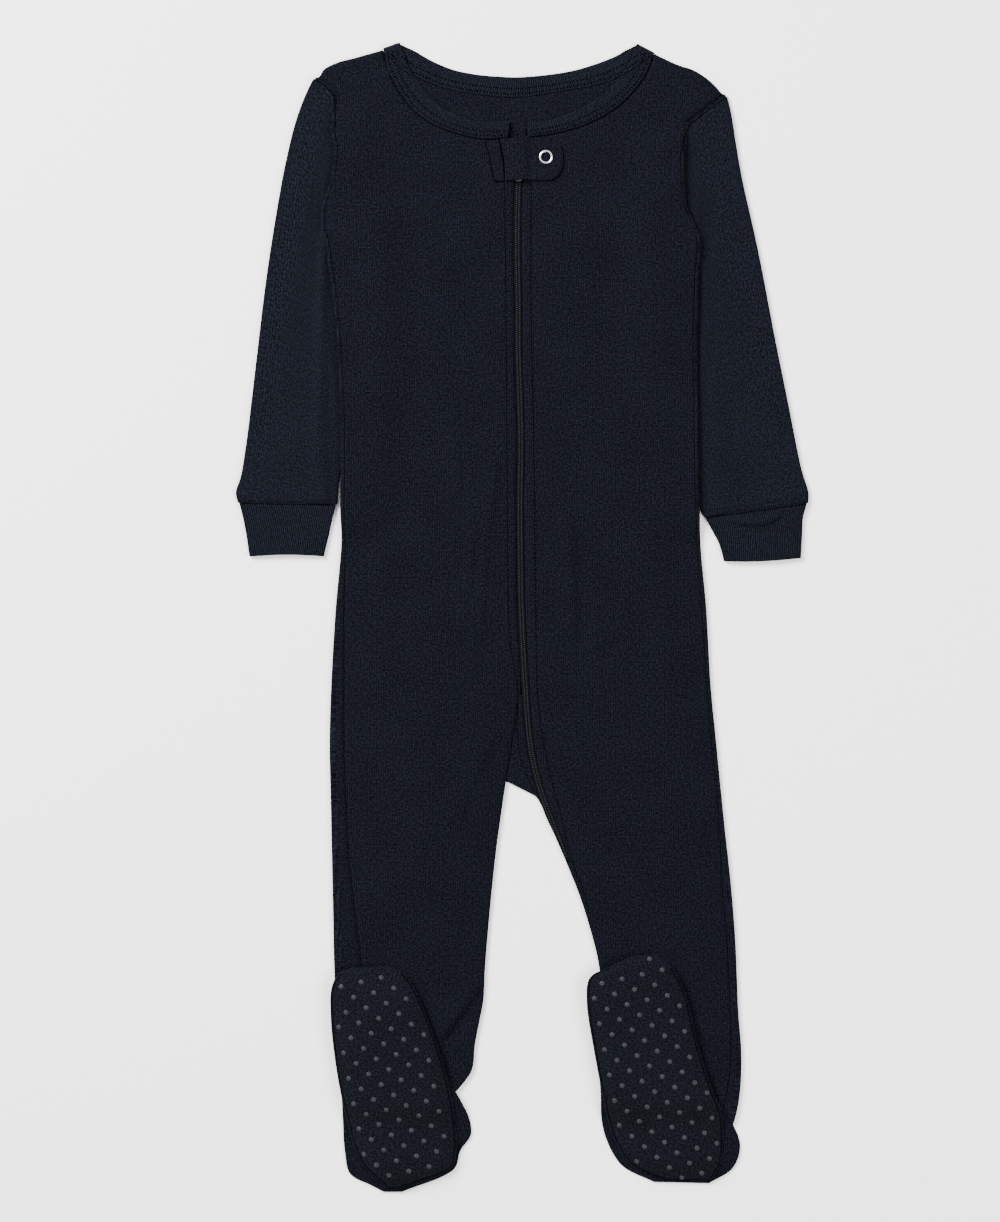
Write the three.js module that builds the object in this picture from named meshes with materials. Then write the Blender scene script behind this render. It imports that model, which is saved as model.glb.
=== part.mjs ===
// A baby's footed onesie pajama in ribbed navy knit, zipped down one leg, lying flat on its back.
// Millimetres, +X to the viewer's right, +Y towards the neck, +Z up from the surface it lies on.
// Tables are named for the viewer's left and right, and solids for the wearer's.
import * as THREE from "three";

// Cloth
const WALL = 1.2;
const GAP = 0.3;
const LAYER = WALL + GAP;
const FOLD = WALL / 2 + LAYER / 2;
const ZIP_GAP = 0.45;
const SIDE_GAP = 0.6;
const NECK_GAP = 0.85;
const NECK_SHIFT = 1.5;
const NECK_TIP_SHIFT = 0.8;

// How high the puffed front stands over the back, and the body over the sleeves tucked under it
const BELLY = 1.5;
const SLEEVE_PUFF = 0.3;
const SLEEVE_LIFT = 2 * WALL + 2 * GAP + SLEEVE_PUFF + 0.2;
const BACK_RAMP = 26;
const FRONT_RAMP = 38;
const RAMP_ROOM = 0.8;
const CUFF_FADE = { from: 44, run: 20 };
const OPEN = {
  side: 26, crotch: -92, crotchRun: 34, inner: 18, top: 262, topRun: 40, foot: -186, footRun: 30,
};
const SHOULDER = { side: 20, low: 262, lowRun: 18, high: 325, highRun: 12, from: 30, share: 0.8 };
const ZIP_CLEAR = { from: 6, run: 12 };

// Edges of the body, one row for each height: outline, and the side seam that shows on the front
const leftSide = {
  columns: ["y", "outline", "seam"],
  rows: [
    [324.5, -124, -122], [322, -121.5, -119.5], [318.5, -116.5, -114.5], [314.5, -113, -111],
    [309, -112, -110], [303, -113.5, -111.5], [294, -115, -113], [283, -113.2, -111.2],
    [273.5, -113.5, -111.5], [263, -115, -113], [251, -119, -117], [242.5, -120.5, -118.5],
    [233.5, -120.5, -118.5], [227, -118.5, -116.5], [211, -116.5, -114], [191, -113.5, -111.4],
    [164, -111, -109], [125, -109.5, -107.3], [95, -109.2, -106.9], [66, -109.4, -107.2],
    [45, -108.8, -106.7], [5, -112.3, -107.5], [-40, -114.9, -107.5], [-76, -115.9, -107.5],
    [-105, -115.3, -106.5], [-149, -114.4, -104], [-182, -113.7, -100], [-207, -113.2, -97],
    [-235, -112, -94], [-265, -110, -92], [-284, -108.5, -91],
  ],
};
const rightSide = {
  columns: ["y", "outline", "seam"],
  rows: [
    [314, 122, 120], [311, 119, 117], [306.5, 112.5, 110.5], [300.5, 104.5, 102.5],
    [297, 100.5, 98.5], [290, 99.2, 97.2], [280, 97.5, 95.5], [270.5, 97, 95],
    [258.5, 97.5, 95.5], [248, 98, 96], [242, 100.5, 98.5], [234.5, 104, 102],
    [224, 107.2, 105.2], [211, 106, 104], [198, 105.5, 103.5], [164, 104.5, 102.5],
    [129, 105, 103], [95, 105.5, 103.5], [60, 106.3, 104.3], [41, 107.1, 105.1],
    [5, 110.4, 108.2], [-40, 113, 111], [-76, 116.5, 114.2], [-121, 121, 118.3],
    [-163, 125.5, 120.5], [-196, 128, 123.3], [-235, 129.6, 125], [-259, 131.4, 125.6],
    [-284, 131.6, 123.6],
  ],
};

// The middle of the zip, from the neck down and round to the leg's edge
const zipLine = {
  columns: ["y", "middle"],
  rows: [
    [290, -2.5], [261, -2.5], [240, -3], [215, -3], [189, -2.5], [163, -2.5], [129, -1.5],
    [103, -1], [67, -1.5], [41, -1.3], [15, -1], [-11, 0], [-37, 1.5], [-63, 3.2], [-80, 5.3],
    [-97, 9], [-111, 13.5], [-123, 18], [-133, 21.8], [-145, 26.2],
  ],
};
const ZIP_HALF = 2.3;
const ZIP_END = -125;
const ZIP_CROWN = 0.4;

// Inner edges of the legs below the crotch, and the line that rises from it to the zip
const crotchLine = {
  columns: ["y", "middle"],
  rows: [[-48, -2.8], [-62, -4.2], [-76, -6.4], [-88, -8.2], [-98.5, -10]],
};
const innerLeft = {
  columns: ["y", "edge"],
  rows: [
    [-98.5, -10], [-112, -12], [-139, -15.7], [-175, -19.5], [-211, -22.5], [-229, -23.4],
    [-243, -26], [-256, -28.5], [-272, -30.6], [-284, -39.4],
  ],
};
const innerRight = {
  columns: ["y", "edge"],
  rows: [
    [-106, 7.5], [-112, 11], [-121, 14.7], [-130, 19], [-139, 23], [-148, 26.8], [-166, 34],
    [-184, 39.8], [-202, 44.6], [-220, 47.8], [-235, 51.3], [-259, 53.3], [-284, 54.5],
  ],
};
const CROTCH_LEFT = [-10, -98.5];
const CROTCH_RIGHT = [7.5, -106];
const CROTCH_Y = -98.5;
const LEG_END = -284;
const INSEAM = { top: -60, bottom: -97, zipBottom: -108 };

// The left leg's lower corner, which hangs past the foot's heel
const HEEL_CORNER = { from: 115.6, to: 131.6, top: -259, drop: 17, inward: 5 };

// Shoulders, from the sleeve in to the neckband, and the neckband's seam and free edges
const leftShoulder = [[-124, 324.5], [-119.5, 329], [-110.5, 333.7], [-101.5, 336], [-86, 339.8]];
const rightShoulder = [[122.2, 314.2], [116, 319], [110.5, 324], [102.5, 329], [93.5, 332], [81.5, 336]];
const leftNeck = {
  columns: ["seam x", "seam y", "free x", "free y"],
  rows: [
    [-83.4, 340.8, -73.2, 344.4], [-82, 331, -71, 338.5], [-79, 324, -67.5, 329],
    [-75, 317, -61.5, 320.5], [-68.5, 307.5, -55.5, 313], [-61, 300.5, -48.5, 306.5],
    [-51, 294.7, -40, 302], [-37, 289.8, -30.5, 298.7], [-23.5, 287.3, -21.5, 297.8],
    [-9, 288, -7.5, 298],
  ],
};
const rightNeck = {
  columns: ["seam x", "seam y", "free x", "free y"],
  rows: [
    [78.7, 338.3, 68.2, 343.9], [76, 330, 63, 331.5], [68.5, 318, 54.5, 320.5],
    [57.5, 307, 44.5, 311.5], [44.5, 299, 30.5, 304], [30.5, 293.5, 16.5, 299],
    [14.5, 289.8, 9, 297.6], [3.5, 288.6, 3, 297.6],
  ],
};
const backNeck = {
  columns: ["seam x", "seam y", "free x", "free y"],
  rows: [
    [-83.4, 340.8, -73.2, 344.4], [-78.5, 334, -65, 340.7], [-71, 327.7, -55.5, 335.2],
    [-58.5, 322, -47.5, 331.5], [-48, 318, -40, 328.9], [-37.5, 315.5, -26.5, 326.3],
    [-13.5, 312.5, -13.5, 325.2], [-2, 312.3, -1, 324.9], [24, 316, 30.5, 328.8],
    [51, 321.4, 54.5, 336.8], [66, 329, 62.2, 341], [78.7, 338.3, 68.2, 343.9],
  ],
};

// Sleeves: outer edge and the edge tucked under the body, from the shoulder to the cuff
const leftArmhole = [
  [-126, 323.8], [-121.9, 321.6], [-117.1, 318], [-113.7, 314.1], [-112.8, 309.2], [-114.3, 303],
  [-115.6, 294], [-113.8, 284], [-111.5, 272], [-108.5, 262], [-105.5, 242], [-103.5, 213.5],
];
const leftSleeveOuter = [
  [-126, 323.8], [-131.5, 312], [-137, 296.5], [-142, 276], [-146, 255.5], [-153.8, 206],
  [-160.3, 152], [-166.3, 102.5], [-169.5, 84], [-172.2, 75.5], [-171, 69.3],
];
const leftSleeveInner = [
  [-103.5, 213.5], [-101.3, 188], [-101, 160], [-102.5, 130], [-107, 99.5], [-110.2, 80],
  [-111, 68.3],
];
const leftCuffOuter = [[-170, 68.6], [-168, 60.5], [-166.1, 51], [-164, 36.9]];
const leftCuffInner = [[-112, 67.6], [-114.1, 59.5], [-115.9, 51], [-119.2, 37]];
const rightArmhole = [
  [123.1, 313.4], [119.7, 310.7], [113.2, 306], [105.3, 300], [101.5, 296.4],
  [100, 289], [98, 279], [96.5, 268], [93, 250], [92.5, 232], [94.5, 213.5],
];
const rightSleeveOuter = [
  [123.1, 313.4], [125.8, 302], [128.6, 284], [132.1, 264], [141.6, 221], [151.4, 170],
  [160.4, 125], [167.7, 89], [171.8, 75], [171.6, 69],
];
const rightSleeveInner = [
  [94.5, 213.5], [93.5, 188], [93.5, 160], [96.5, 130], [103.5, 99.5], [106.7, 80], [109.2, 60.5],
];
const rightCuffInner = [[109.8, 59.9], [114.4, 51.5], [118, 44.5], [121, 34]];
const rightCuffOuter = [[170.7, 68.2], [168.5, 60], [168, 50], [167.2, 36]];

// Feet turned up over the legs: edges of the sole, and of the upper folded beneath it
const leftSoleEdges = {
  columns: ["left x", "left y", "right x", "right y"],
  rows: [
    [-102.5, -209.5, -80, -209], [-110, -213, -71, -213], [-114.3, -221, -65, -221.5],
    [-115, -238, -58, -237], [-112, -267.5, -47.5, -267], [-107, -294, -41.7, -293],
    [-100.5, -319, -39.4, -318], [-95, -328.5, -42.5, -329.5], [-88, -335, -60, -336.5],
    [-82, -341, -73, -341.5],
  ],
};
const leftUpperEdges = {
  columns: ["left x", "left y", "right x", "right y"],
  rows: [
    [-101.5, -212, -82, -212], [-108.5, -215.5, -73.5, -215.5], [-112.3, -224, -67.5, -223],
    [-113, -240, -59.5, -238.5], [-110, -268, -49, -268], [-108.5, -287, -40, -284],
    [-108, -300, -32, -300.5], [-106.7, -321, -31, -310.5], [-103.5, -334, -37.3, -320],
    [-91, -340.6, -41, -331], [-83, -344.8, -72.5, -344.8],
  ],
};
const rightSoleEdges = {
  columns: ["left x", "left y", "right x", "right y"],
  rows: [
    [66, -202.5, 80, -201.5], [51, -209.5, 89.5, -209.5], [40.3, -215.5, 95, -218.5],
    [38.4, -229, 99.5, -231], [43.3, -262, 105.5, -257.5], [47.7, -285, 114, -283.5],
    [51, -301, 119.5, -298], [55.5, -314, 120.5, -312], [64.4, -327, 119, -326.6],
    [84, -336.2, 113.5, -336.4],
  ],
};
const rightUpperEdges = {
  columns: ["left x", "left y", "right x", "right y"],
  rows: [
    [67, -205, 79.5, -204], [53, -211.5, 88, -212], [42.3, -217.5, 93, -220],
    [40.4, -231, 98, -232.5], [44.8, -263, 104.5, -260], [46.8, -285, 114.5, -286],
    [47.3, -300, 125.3, -302], [50.3, -313, 130.8, -317], [59.6, -328.8, 126.4, -330.4],
    [79, -338.8, 112, -339.6],
  ],
};
const FOOT_LAYER = 3.2;
const FOOT_PUFF = 2.4;
const HEEL_PLAN = { floor: -305, leg: -288.5 };

// The guard over the zip's top, the placket beside it, and the snap that holds it
const guardEdges = {
  columns: ["left x", "left y", "right x", "right y"],
  rows: [
    [-13.6, 287.3, 18, 287.8], [-12.6, 283, 22.8, 284.5], [-11.3, 277, 24.3, 280],
    [-10.7, 271, 23.5, 271.5], [-10.6, 262.6, 19, 263],
  ],
};
const placketEdges = {
  columns: ["left x", "left y", "right x", "right y"],
  rows: [[-22.2, 286.4, -14.2, 287], [-19.6, 277, -12, 277.5], [-16.6, 262.2, -11, 262.2]],
};
const SLIDER_ROOM = { half: 3, ramp: 5 };
const SNAP = { x: 14, y: 276.5, outer: 4.05, inner: 2.45, height: 1 };
const SLIDER = { x: -2.6, top: 270, bottom: 262, wide: 4.4, high: 1.7 };
const PULL = { top: 281, bottom: 269, wide: 3.6, high: 0.8 };

// Soft folds of the front: each runs between two points, so high and so wide
const folds = {
  columns: ["x", "y", "to x", "to y", "height", "width"],
  rows: [
    [-31, 92, -29, -48, 1.0, 6], [-17, 66, -21, -12, 0.9, 6], [26, 72, 29, -34, 1.0, 6],
    [42, 40, 44, -42, 0.7, 7], [-70, 0, -56, -44, 0.8, 8], [-92, 250, -70, 120, 0.7, 10],
    [84, 262, 60, 150, 0.8, 10], [70, 292, 88, 318, 0.6, 7], [-60, -110, -66, -178, 0.8, 8],
    [84, -96, 92, -172, 0.8, 9], [-86, 60, -80, -40, 0.6, 9], [80, 60, 88, -30, 0.6, 9],
  ],
};

const NAVY = 0x1b202b;
const RIB_NAVY = 0x191d27;
const SOLE_NAVY = 0x171c26;
const ZIP_GREY = 0x4a4d55;
const STEEL = 0xc9ccd2;

const smooth = (t) => {
  const s = Math.min(Math.max(t, 0), 1);
  return s * s * (3 - 2 * s);
};

const mix = (a, b, t) => a + (b - a) * t;

const share = (value, from, to) => Math.min(Math.max((value - from) / (to - from), 0), 1);

function heelCorner(x, y) {
  const across = share(x, HEEL_CORNER.from, HEEL_CORNER.to);
  const down = share(y, HEEL_CORNER.top, LEG_END);
  return [x - HEEL_CORNER.inward * across * down ** 3, y - HEEL_CORNER.drop * across * down];
}

// Value of a table's column at height y, on a smooth curve through its rows
function at(table, y, column = 1) {
  const rows = table.rows;
  const last = rows.length - 1;
  if (y >= rows[0][0]) return rows[0][column];
  if (y <= rows[last][0]) return rows[last][column];
  let i = 0;
  while (rows[i + 1][0] > y) i += 1;
  const slope = (k) => {
    const before = rows[Math.max(k - 1, 0)];
    const after = rows[Math.min(k + 1, last)];
    return (after[column] - before[column]) / (after[0] - before[0]);
  };
  const step = rows[i + 1][0] - rows[i][0];
  const t = (y - rows[i][0]) / step;
  const bend = (1 - t) * (1 - t) * t * slope(i) - t * t * (1 - t) * slope(i + 1);
  return mix(rows[i][column], rows[i + 1][column], smooth(t)) + step * bend;
}

// Points along a smooth line through the given ones, at the given shares of its length
function along(points, shares) {
  const curve = new THREE.CatmullRomCurve3(
    points.map(([x, y]) => new THREE.Vector3(x, y, 0)), false, "centripetal");
  return shares.map((share) => {
    const p = curve.getPointAt(share);
    return [p.x, p.y];
  });
}

const even = (count) => Array.from({ length: count + 1 }, (_, i) => i / count);

// Points of a level line across, from its left end to its right end
function straight(from, to, count) {
  return even(count).map((t) => [mix(from[0], to[0], t), mix(from[1], to[1], t)]);
}

// Plan points inside four edges that meet at their corners, a row for each point of the left edge.
// A side's own bends fade out towards the other side.
function fill(left, right, top, bottom) {
  const lastRow = left.length - 1;
  const lastColumn = top.length - 1;
  return left.map((_, r) => {
    const v = (left[r][1] - left[0][1]) / (left[lastRow][1] - left[0][1]);
    return top.map((__, c) => {
      const u = c / lastColumn;
      return [0, 1].map((k) =>
        mix(top[c][k], bottom[c][k], v)
        + (1 - u) ** 4 * (left[r][k] - mix(left[0][k], left[lastRow][k], v))
        + u ** 4 * (right[r][k] - mix(right[0][k], right[lastRow][k], v)));
    });
  });
}

// Share of the full lift where the body lies over a sleeve
function lifted(x, y, ramp) {
  const left = tuck(x - at(leftTuck, y), y, leftTuck, ramp);
  const right = tuck(at(rightTuck, y) - x, y, rightTuck, ramp);
  return Math.max(left, right);
}

function tuck(inward, y, { start, full }, ramp) {
  const across = 1 - smooth((inward - 1) / ramp);
  const down = smooth((start - y) / (start - full)) * smooth((y - CUFF_FADE.from) / CUFF_FADE.run);
  return across * down;
}

// Where a sleeve's tucked edge runs, and the heights between which the body rises over it
const leftTuck = {
  start: 313,
  full: 286,
  columns: ["y", "x"],
  rows: [[294, -114], [284, -113], [272, -110.3], [262, -108.5], [242, -105.5], [213.5, -103.5],
    [188, -101.3], [160, -101], [130, -102.5], [99.5, -107], [70, -110]],
};
const rightTuck = {
  start: 302,
  full: 275,
  columns: ["y", "x"],
  rows: [[289, 99], [278, 97.5], [266, 95.6], [250, 92.5], [232, 92], [213.5, 94.5],
    [188, 93.5], [160, 93.5], [130, 96.5], [99.5, 103.5], [62.5, 107.5]],
};

// How far the front stands clear of the back, from its puff and its folds
function puff(x, y) {
  const fromSide = Math.min(x - at(leftSide, y, 2), at(rightSide, y, 2) - x);
  const fromInner = Math.max(at(innerLeft, y) - x, x - at(innerRight, y));
  const inner = Math.max(
    smooth((y - OPEN.crotch) / OPEN.crotchRun), smooth((fromInner - 1) / OPEN.inner));
  const open = smooth((fromSide - 1) / OPEN.side) * inner
    * smooth((OPEN.top - y) / OPEN.topRun) * smooth((y - OPEN.foot) / OPEN.footRun);
  const shoulder = smooth((fromSide - 1) / SHOULDER.side)
    * smooth((y - SHOULDER.low) / SHOULDER.lowRun) * smooth((SHOULDER.high - y) / SHOULDER.highRun);
  const fromZip = Math.abs(x - at(zipLine, y));
  let ridges = 0;
  for (const [x0, y0, x1, y1, height, width] of folds.rows) {
    const run = Math.hypot(x1 - x0, y1 - y0);
    const part = ((x - x0) * (x1 - x0) + (y - y0) * (y1 - y0)) / run / run;
    const off = Math.abs((x - x0) * (y1 - y0) - (y - y0) * (x1 - x0)) / run;
    const ends = smooth(part * 3) * smooth((1 - part) * 3);
    ridges += height * ends * Math.exp(-((off / width) ** 2));
  }
  return (BELLY + ridges * smooth((fromZip - ZIP_CLEAR.from) / ZIP_CLEAR.run)) * open
    + ridges * shoulder * (x > SHOULDER.from ? SHOULDER.share : 0);
}

const lift = (x, y) => SLEEVE_LIFT * lifted(x, y, BACK_RAMP);

// The front bridges the bends of the layer beneath with a little more room
function frontUnder(x, y) {
  const raised = lifted(x, y, FRONT_RAMP);
  return SLEEVE_LIFT * raised + LAYER + puff(x, y) + 4 * RAMP_ROOM * raised * (1 - raised);
}
const frontTop = (x, y) => frontUnder(x, y) + WALL;

// A closed solid from its inner and outer points, laid out in rows.
// A cell is four neighbouring points; where has says that it is missing there is an edge.
function solid(inner, outer, has = () => true, ring = false) {
  const rows = inner.length;
  const columns = inner[0].length;
  const cells = new Set();
  const across = ring ? columns : columns - 1;
  const key = (r, c) => r * columns + ((c + columns) % columns);
  for (let r = 0; r < rows - 1; r += 1) {
    for (let c = 0; c < across; c += 1) if (has(r, c)) cells.add(key(r, c));
  }
  const present = (r, c) => {
    if (r < 0 || r >= rows - 1) return false;
    if (!ring && (c < 0 || c >= across)) return false;
    return cells.has(key(r, c));
  };
  const triangles = [];
  const quad = (a, b, c, d) => triangles.push(a, b, c, a, c, d);
  for (let r = 0; r < rows - 1; r += 1) {
    for (let c = 0; c < across; c += 1) {
      if (!present(r, c)) continue;
      const n = (c + 1) % columns;
      quad(outer[r][c], outer[r + 1][c], outer[r + 1][n], outer[r][n]);
      quad(inner[r][c], inner[r][n], inner[r + 1][n], inner[r + 1][c]);
      if (!present(r - 1, c)) quad(inner[r][c], outer[r][c], outer[r][n], inner[r][n]);
      if (!present(r + 1, c)) quad(inner[r + 1][n], outer[r + 1][n], outer[r + 1][c], inner[r + 1][c]);
      if (!present(r, c - 1)) quad(inner[r + 1][c], outer[r + 1][c], outer[r][c], inner[r][c]);
      if (!present(r, c + 1)) quad(inner[r][n], outer[r][n], outer[r + 1][n], inner[r + 1][n]);
    }
  }
  const geometry = new THREE.BufferGeometry();
  geometry.setAttribute("position", new THREE.Float32BufferAttribute(triangles.flat(), 3));
  geometry.computeVertexNormals();
  return geometry;
}

// A sheet over plan points, with its underside and thickness given for each place
function sheet(plan, under, wall = () => WALL) {
  const inner = plan.map((row) => row.map(([x, y]) => [x, y, under(x, y)]));
  const outer = plan.map((row, r) => row.map(([x, y], c) =>
    [x, y, under(x, y) + wall(c / (row.length - 1), r / (plan.length - 1))]));
  return solid(inner, outer);
}

const navy = { color: NAVY, roughness: 0.95, metalness: 0 };
const rib = { color: RIB_NAVY, roughness: 0.95, metalness: 0 };
const sole = { color: SOLE_NAVY, roughness: 0.85, metalness: 0 };

const onesie = new THREE.Group();

function add(name, geometry, look) {
  const mesh = new THREE.Mesh(geometry, new THREE.MeshStandardMaterial(look));
  mesh.name = name;
  onesie.add(mesh);
  return mesh;
}

// Back: one piece for the body and both legs, turned over at its outer edges to the side seams
const BODY_ROWS = 24;
const LEG_ROWS = 8;
const bodyShares = even(BODY_ROWS).map((t) => t * 0.42 + t * t * 0.58);

// Heights of the body's rows at one side, closer together at the shoulder
const sideHeights = (top) => bodyShares.map((t) => mix(top, CROTCH_Y, t));
const legShares = even(LEG_ROWS).slice(1).map((t) => 1 - (1 - t) ** 1.25);
const legHeights = legShares.map((t) => mix(CROTCH_Y, LEG_END, t));

function backPanel() {
  const legColumns = 9;
  const shoulderColumns = 3;
  const neckColumns = 2 * legColumns + 1 - 2 * shoulderColumns;
  const seam = backNeck.rows.map(([x, y]) => [x, y - NECK_GAP]);
  seam[0] = leftShoulder.at(-1);
  seam[1][1] -= NECK_TIP_SHIFT;
  seam[seam.length - 1] = rightShoulder.at(-1);
  const inset = (points, sign) => [
    ...points.slice(0, -1).map(([x, y]) => [x + sign * FOLD, y]), points.at(-1)];
  const leftTop = inset(leftShoulder, 1);
  const rightTop = inset(rightShoulder, -1);
  const top = [
    ...along(leftTop, even(shoulderColumns)),
    ...along(seam, even(neckColumns)).slice(1, -1),
    ...along(rightTop, even(shoulderColumns)).reverse(),
  ];
  const leftX = (y) => at(leftSide, y) + FOLD;
  const rightX = (y) => at(rightSide, y) - FOLD;
  const left = sideHeights(324.5).map((y) => [leftX(y), y]);
  const right = sideHeights(314).map((y) => [rightX(y), y]);
  const bottom = [
    ...straight([leftX(CROTCH_Y), CROTCH_Y], CROTCH_LEFT, legColumns),
    ...straight(CROTCH_RIGHT, [rightX(CROTCH_Y), CROTCH_Y], legColumns),
  ];
  const plan = fill(left, right, top, bottom);
  legHeights.forEach((y, k) => {
    const innerY = mix(CROTCH_RIGHT[1], LEG_END, legShares[k]);
    plan.push([
      ...straight([leftX(y), y], [at(innerLeft, y), y], legColumns),
      ...straight([at(innerRight, innerY), innerY], [rightX(y), y], legColumns),
    ]);
  });

  // Each row with its turned-over edges: angles round the fold, then the strip up to the seam
  const bends = [60, 120, 180].map((degrees) => degrees * Math.PI / 180);
  const inner = [];
  const outer = [];
  plan.forEach((row) => {
    const section = row.map(([x, y]) => [x, y, WALL / 2, 0, 1]);
    const turn = (side, point, sign) => {
      const [x, y] = point;
      const width = Math.max(sign * (at(side, y, 2) - at(side, y)) - FOLD, 0.5);
      const strip = [[x + sign * width, y, WALL / 2 + LAYER, 0, -1]];
      return [...bends.map((a) => [x - sign * Math.sin(a) * LAYER / 2, y,
        WALL / 2 + (1 - Math.cos(a)) * LAYER / 2, sign * Math.sin(a), Math.cos(a)]), ...strip];
    };
    const path = [
      ...turn(leftSide, row[0], 1).reverse(),
      ...section,
      ...turn(rightSide, row[row.length - 1], -1),
    ].map(([x, y, ...rest]) => [...heelCorner(x, y), ...rest]);
    const offset = (sign) => path.map(([x, y, z, nx, nz]) =>
      [x + sign * nx * WALL / 2, y, z + sign * nz * WALL / 2 + lift(x, y)]);
    outer.push(offset(1));
    inner.push(offset(-1));
  });
  const firstLeg = bends.length + 1 + legColumns;
  const has = (r, c) => r < BODY_ROWS || c !== firstLeg;
  return solid(inner, outer, has);
}
add("back_panel", backPanel(), navy);

// Fronts: from the side seam to the zip, and below it to the crotch and the inner leg
function rightFrontEdge(y) {
  const zip = at(zipLine, y) - ZIP_HALF - ZIP_GAP;
  if (y > -40) return zip;
  if (y > -56) return mix(at(crotchLine, y), zip, smooth((y + 56) / 16));
  return y > CROTCH_Y ? at(crotchLine, y) : at(innerLeft, y);
}

function leftFrontEdge(y) {
  const zip = at(zipLine, y) + ZIP_HALF + ZIP_GAP;
  return mix(at(innerRight, y), zip, smooth((y + 158) / 22));
}

function frontPanel(side, sign, shoulder, neck, edge) {
  const shoulderColumns = 3;
  const neckColumns = 10;
  const low = neck.rows.length - 1;
  const seam = neck.rows.map(([x, y]) => [x - sign * NECK_SHIFT, y - NECK_GAP]);
  seam[0] = shoulder.at(-1);
  seam[1][0] -= sign * NECK_TIP_SHIFT;
  seam[seam.length - 1] = [edge(neck.rows[low][1]), neck.rows[low][1] - NECK_GAP];
  const shoulderTop = shoulder[0][1];
  const outerX = (y) => at(side, y, 2) + sign * SIDE_GAP;
  const first = [outerX(shoulderTop), shoulderTop];
  const top = [
    ...along([first, ...shoulder.slice(1)], even(shoulderColumns)),
    ...along(seam, even(neckColumns)).slice(1),
  ];
  const outside = [...sideHeights(shoulderTop), ...legHeights].map((y) => [outerX(y), y]);
  const inside = [...sideHeights(seam.at(-1)[1]), ...legHeights].map((y) => [edge(y), y]);
  const last = outside.length - 1;
  const bottom = straight(outside[last], inside[last], shoulderColumns + neckColumns);
  const plan = fill(outside, inside, top, bottom).map((row) => row.map(([x, y]) => heelCorner(x, y)));
  return sign > 0 ? plan : plan.map((row) => [...row].reverse());
}
const rightFront = frontPanel(leftSide, 1, leftShoulder, leftNeck, rightFrontEdge);
const leftFront = frontPanel(rightSide, -1, rightShoulder, rightNeck, leftFrontEdge);
add("front_right", sheet(rightFront, frontUnder), navy);
add("front_left", sheet(leftFront, frontUnder), navy);

// The inner leg's edge turned to the front beside the zip, down to the crotch
function inseamStrip() {
  const rows = 10;
  const columns = 3;
  const heights = even(rows).map((t) => mix(INSEAM.top, INSEAM.bottom, t));
  const left = heights.map((y) => [at(crotchLine, y) + ZIP_GAP, y]);
  const right = heights.map((y, i) => {
    const low = mix(y, INSEAM.zipBottom, i / rows);
    return [at(zipLine, low) - ZIP_HALF - ZIP_GAP, low];
  });
  const top = straight(left[0], right[0], columns);
  return fill(left, right, top, straight(left[rows], right[rows], columns));
}
add("inner_leg_strip", sheet(inseamStrip(), frontUnder), navy);

// Zip: the coil's strip between the folded edges of the fronts, ending round the leg's edge
function zipStrip() {
  const rows = 44;
  return even(rows).map((t) => {
    const y = mix(SLIDER.bottom - GAP, ZIP_END, t);
    const middle = at(zipLine, y);
    const slope = (at(zipLine, y + 1) - at(zipLine, y - 1)) / 2;
    return [-ZIP_HALF, 0, ZIP_HALF].map((d) => [middle + d, y - d * slope]);
  });
}
add("zip_coil", sheet(zipStrip(), frontUnder, (u) => (u === 0.5 ? WALL + ZIP_CROWN : WALL)),
  { color: ZIP_GREY, roughness: 0.5, metalness: 0.1 });

const sliderBase = frontUnder(SLIDER.x, SLIDER.bottom);
function block(x, y0, y1, wide, z0, high) {
  const geometry = new THREE.BoxGeometry(wide, y1 - y0, high);
  geometry.translate(x, (y0 + y1) / 2, z0 + high / 2);
  return geometry;
}
const metal = { color: STEEL, roughness: 0.35, metalness: 0.9 };
add("zip_slider",
  block(SLIDER.x, SLIDER.bottom, SLIDER.top, SLIDER.wide, sliderBase, SLIDER.high), metal);
const pullBase = sliderBase + SLIDER.high + GAP;
add("zip_pull", block(SLIDER.x, PULL.bottom, PULL.top, PULL.wide, pullBase, PULL.high), metal);

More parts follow.
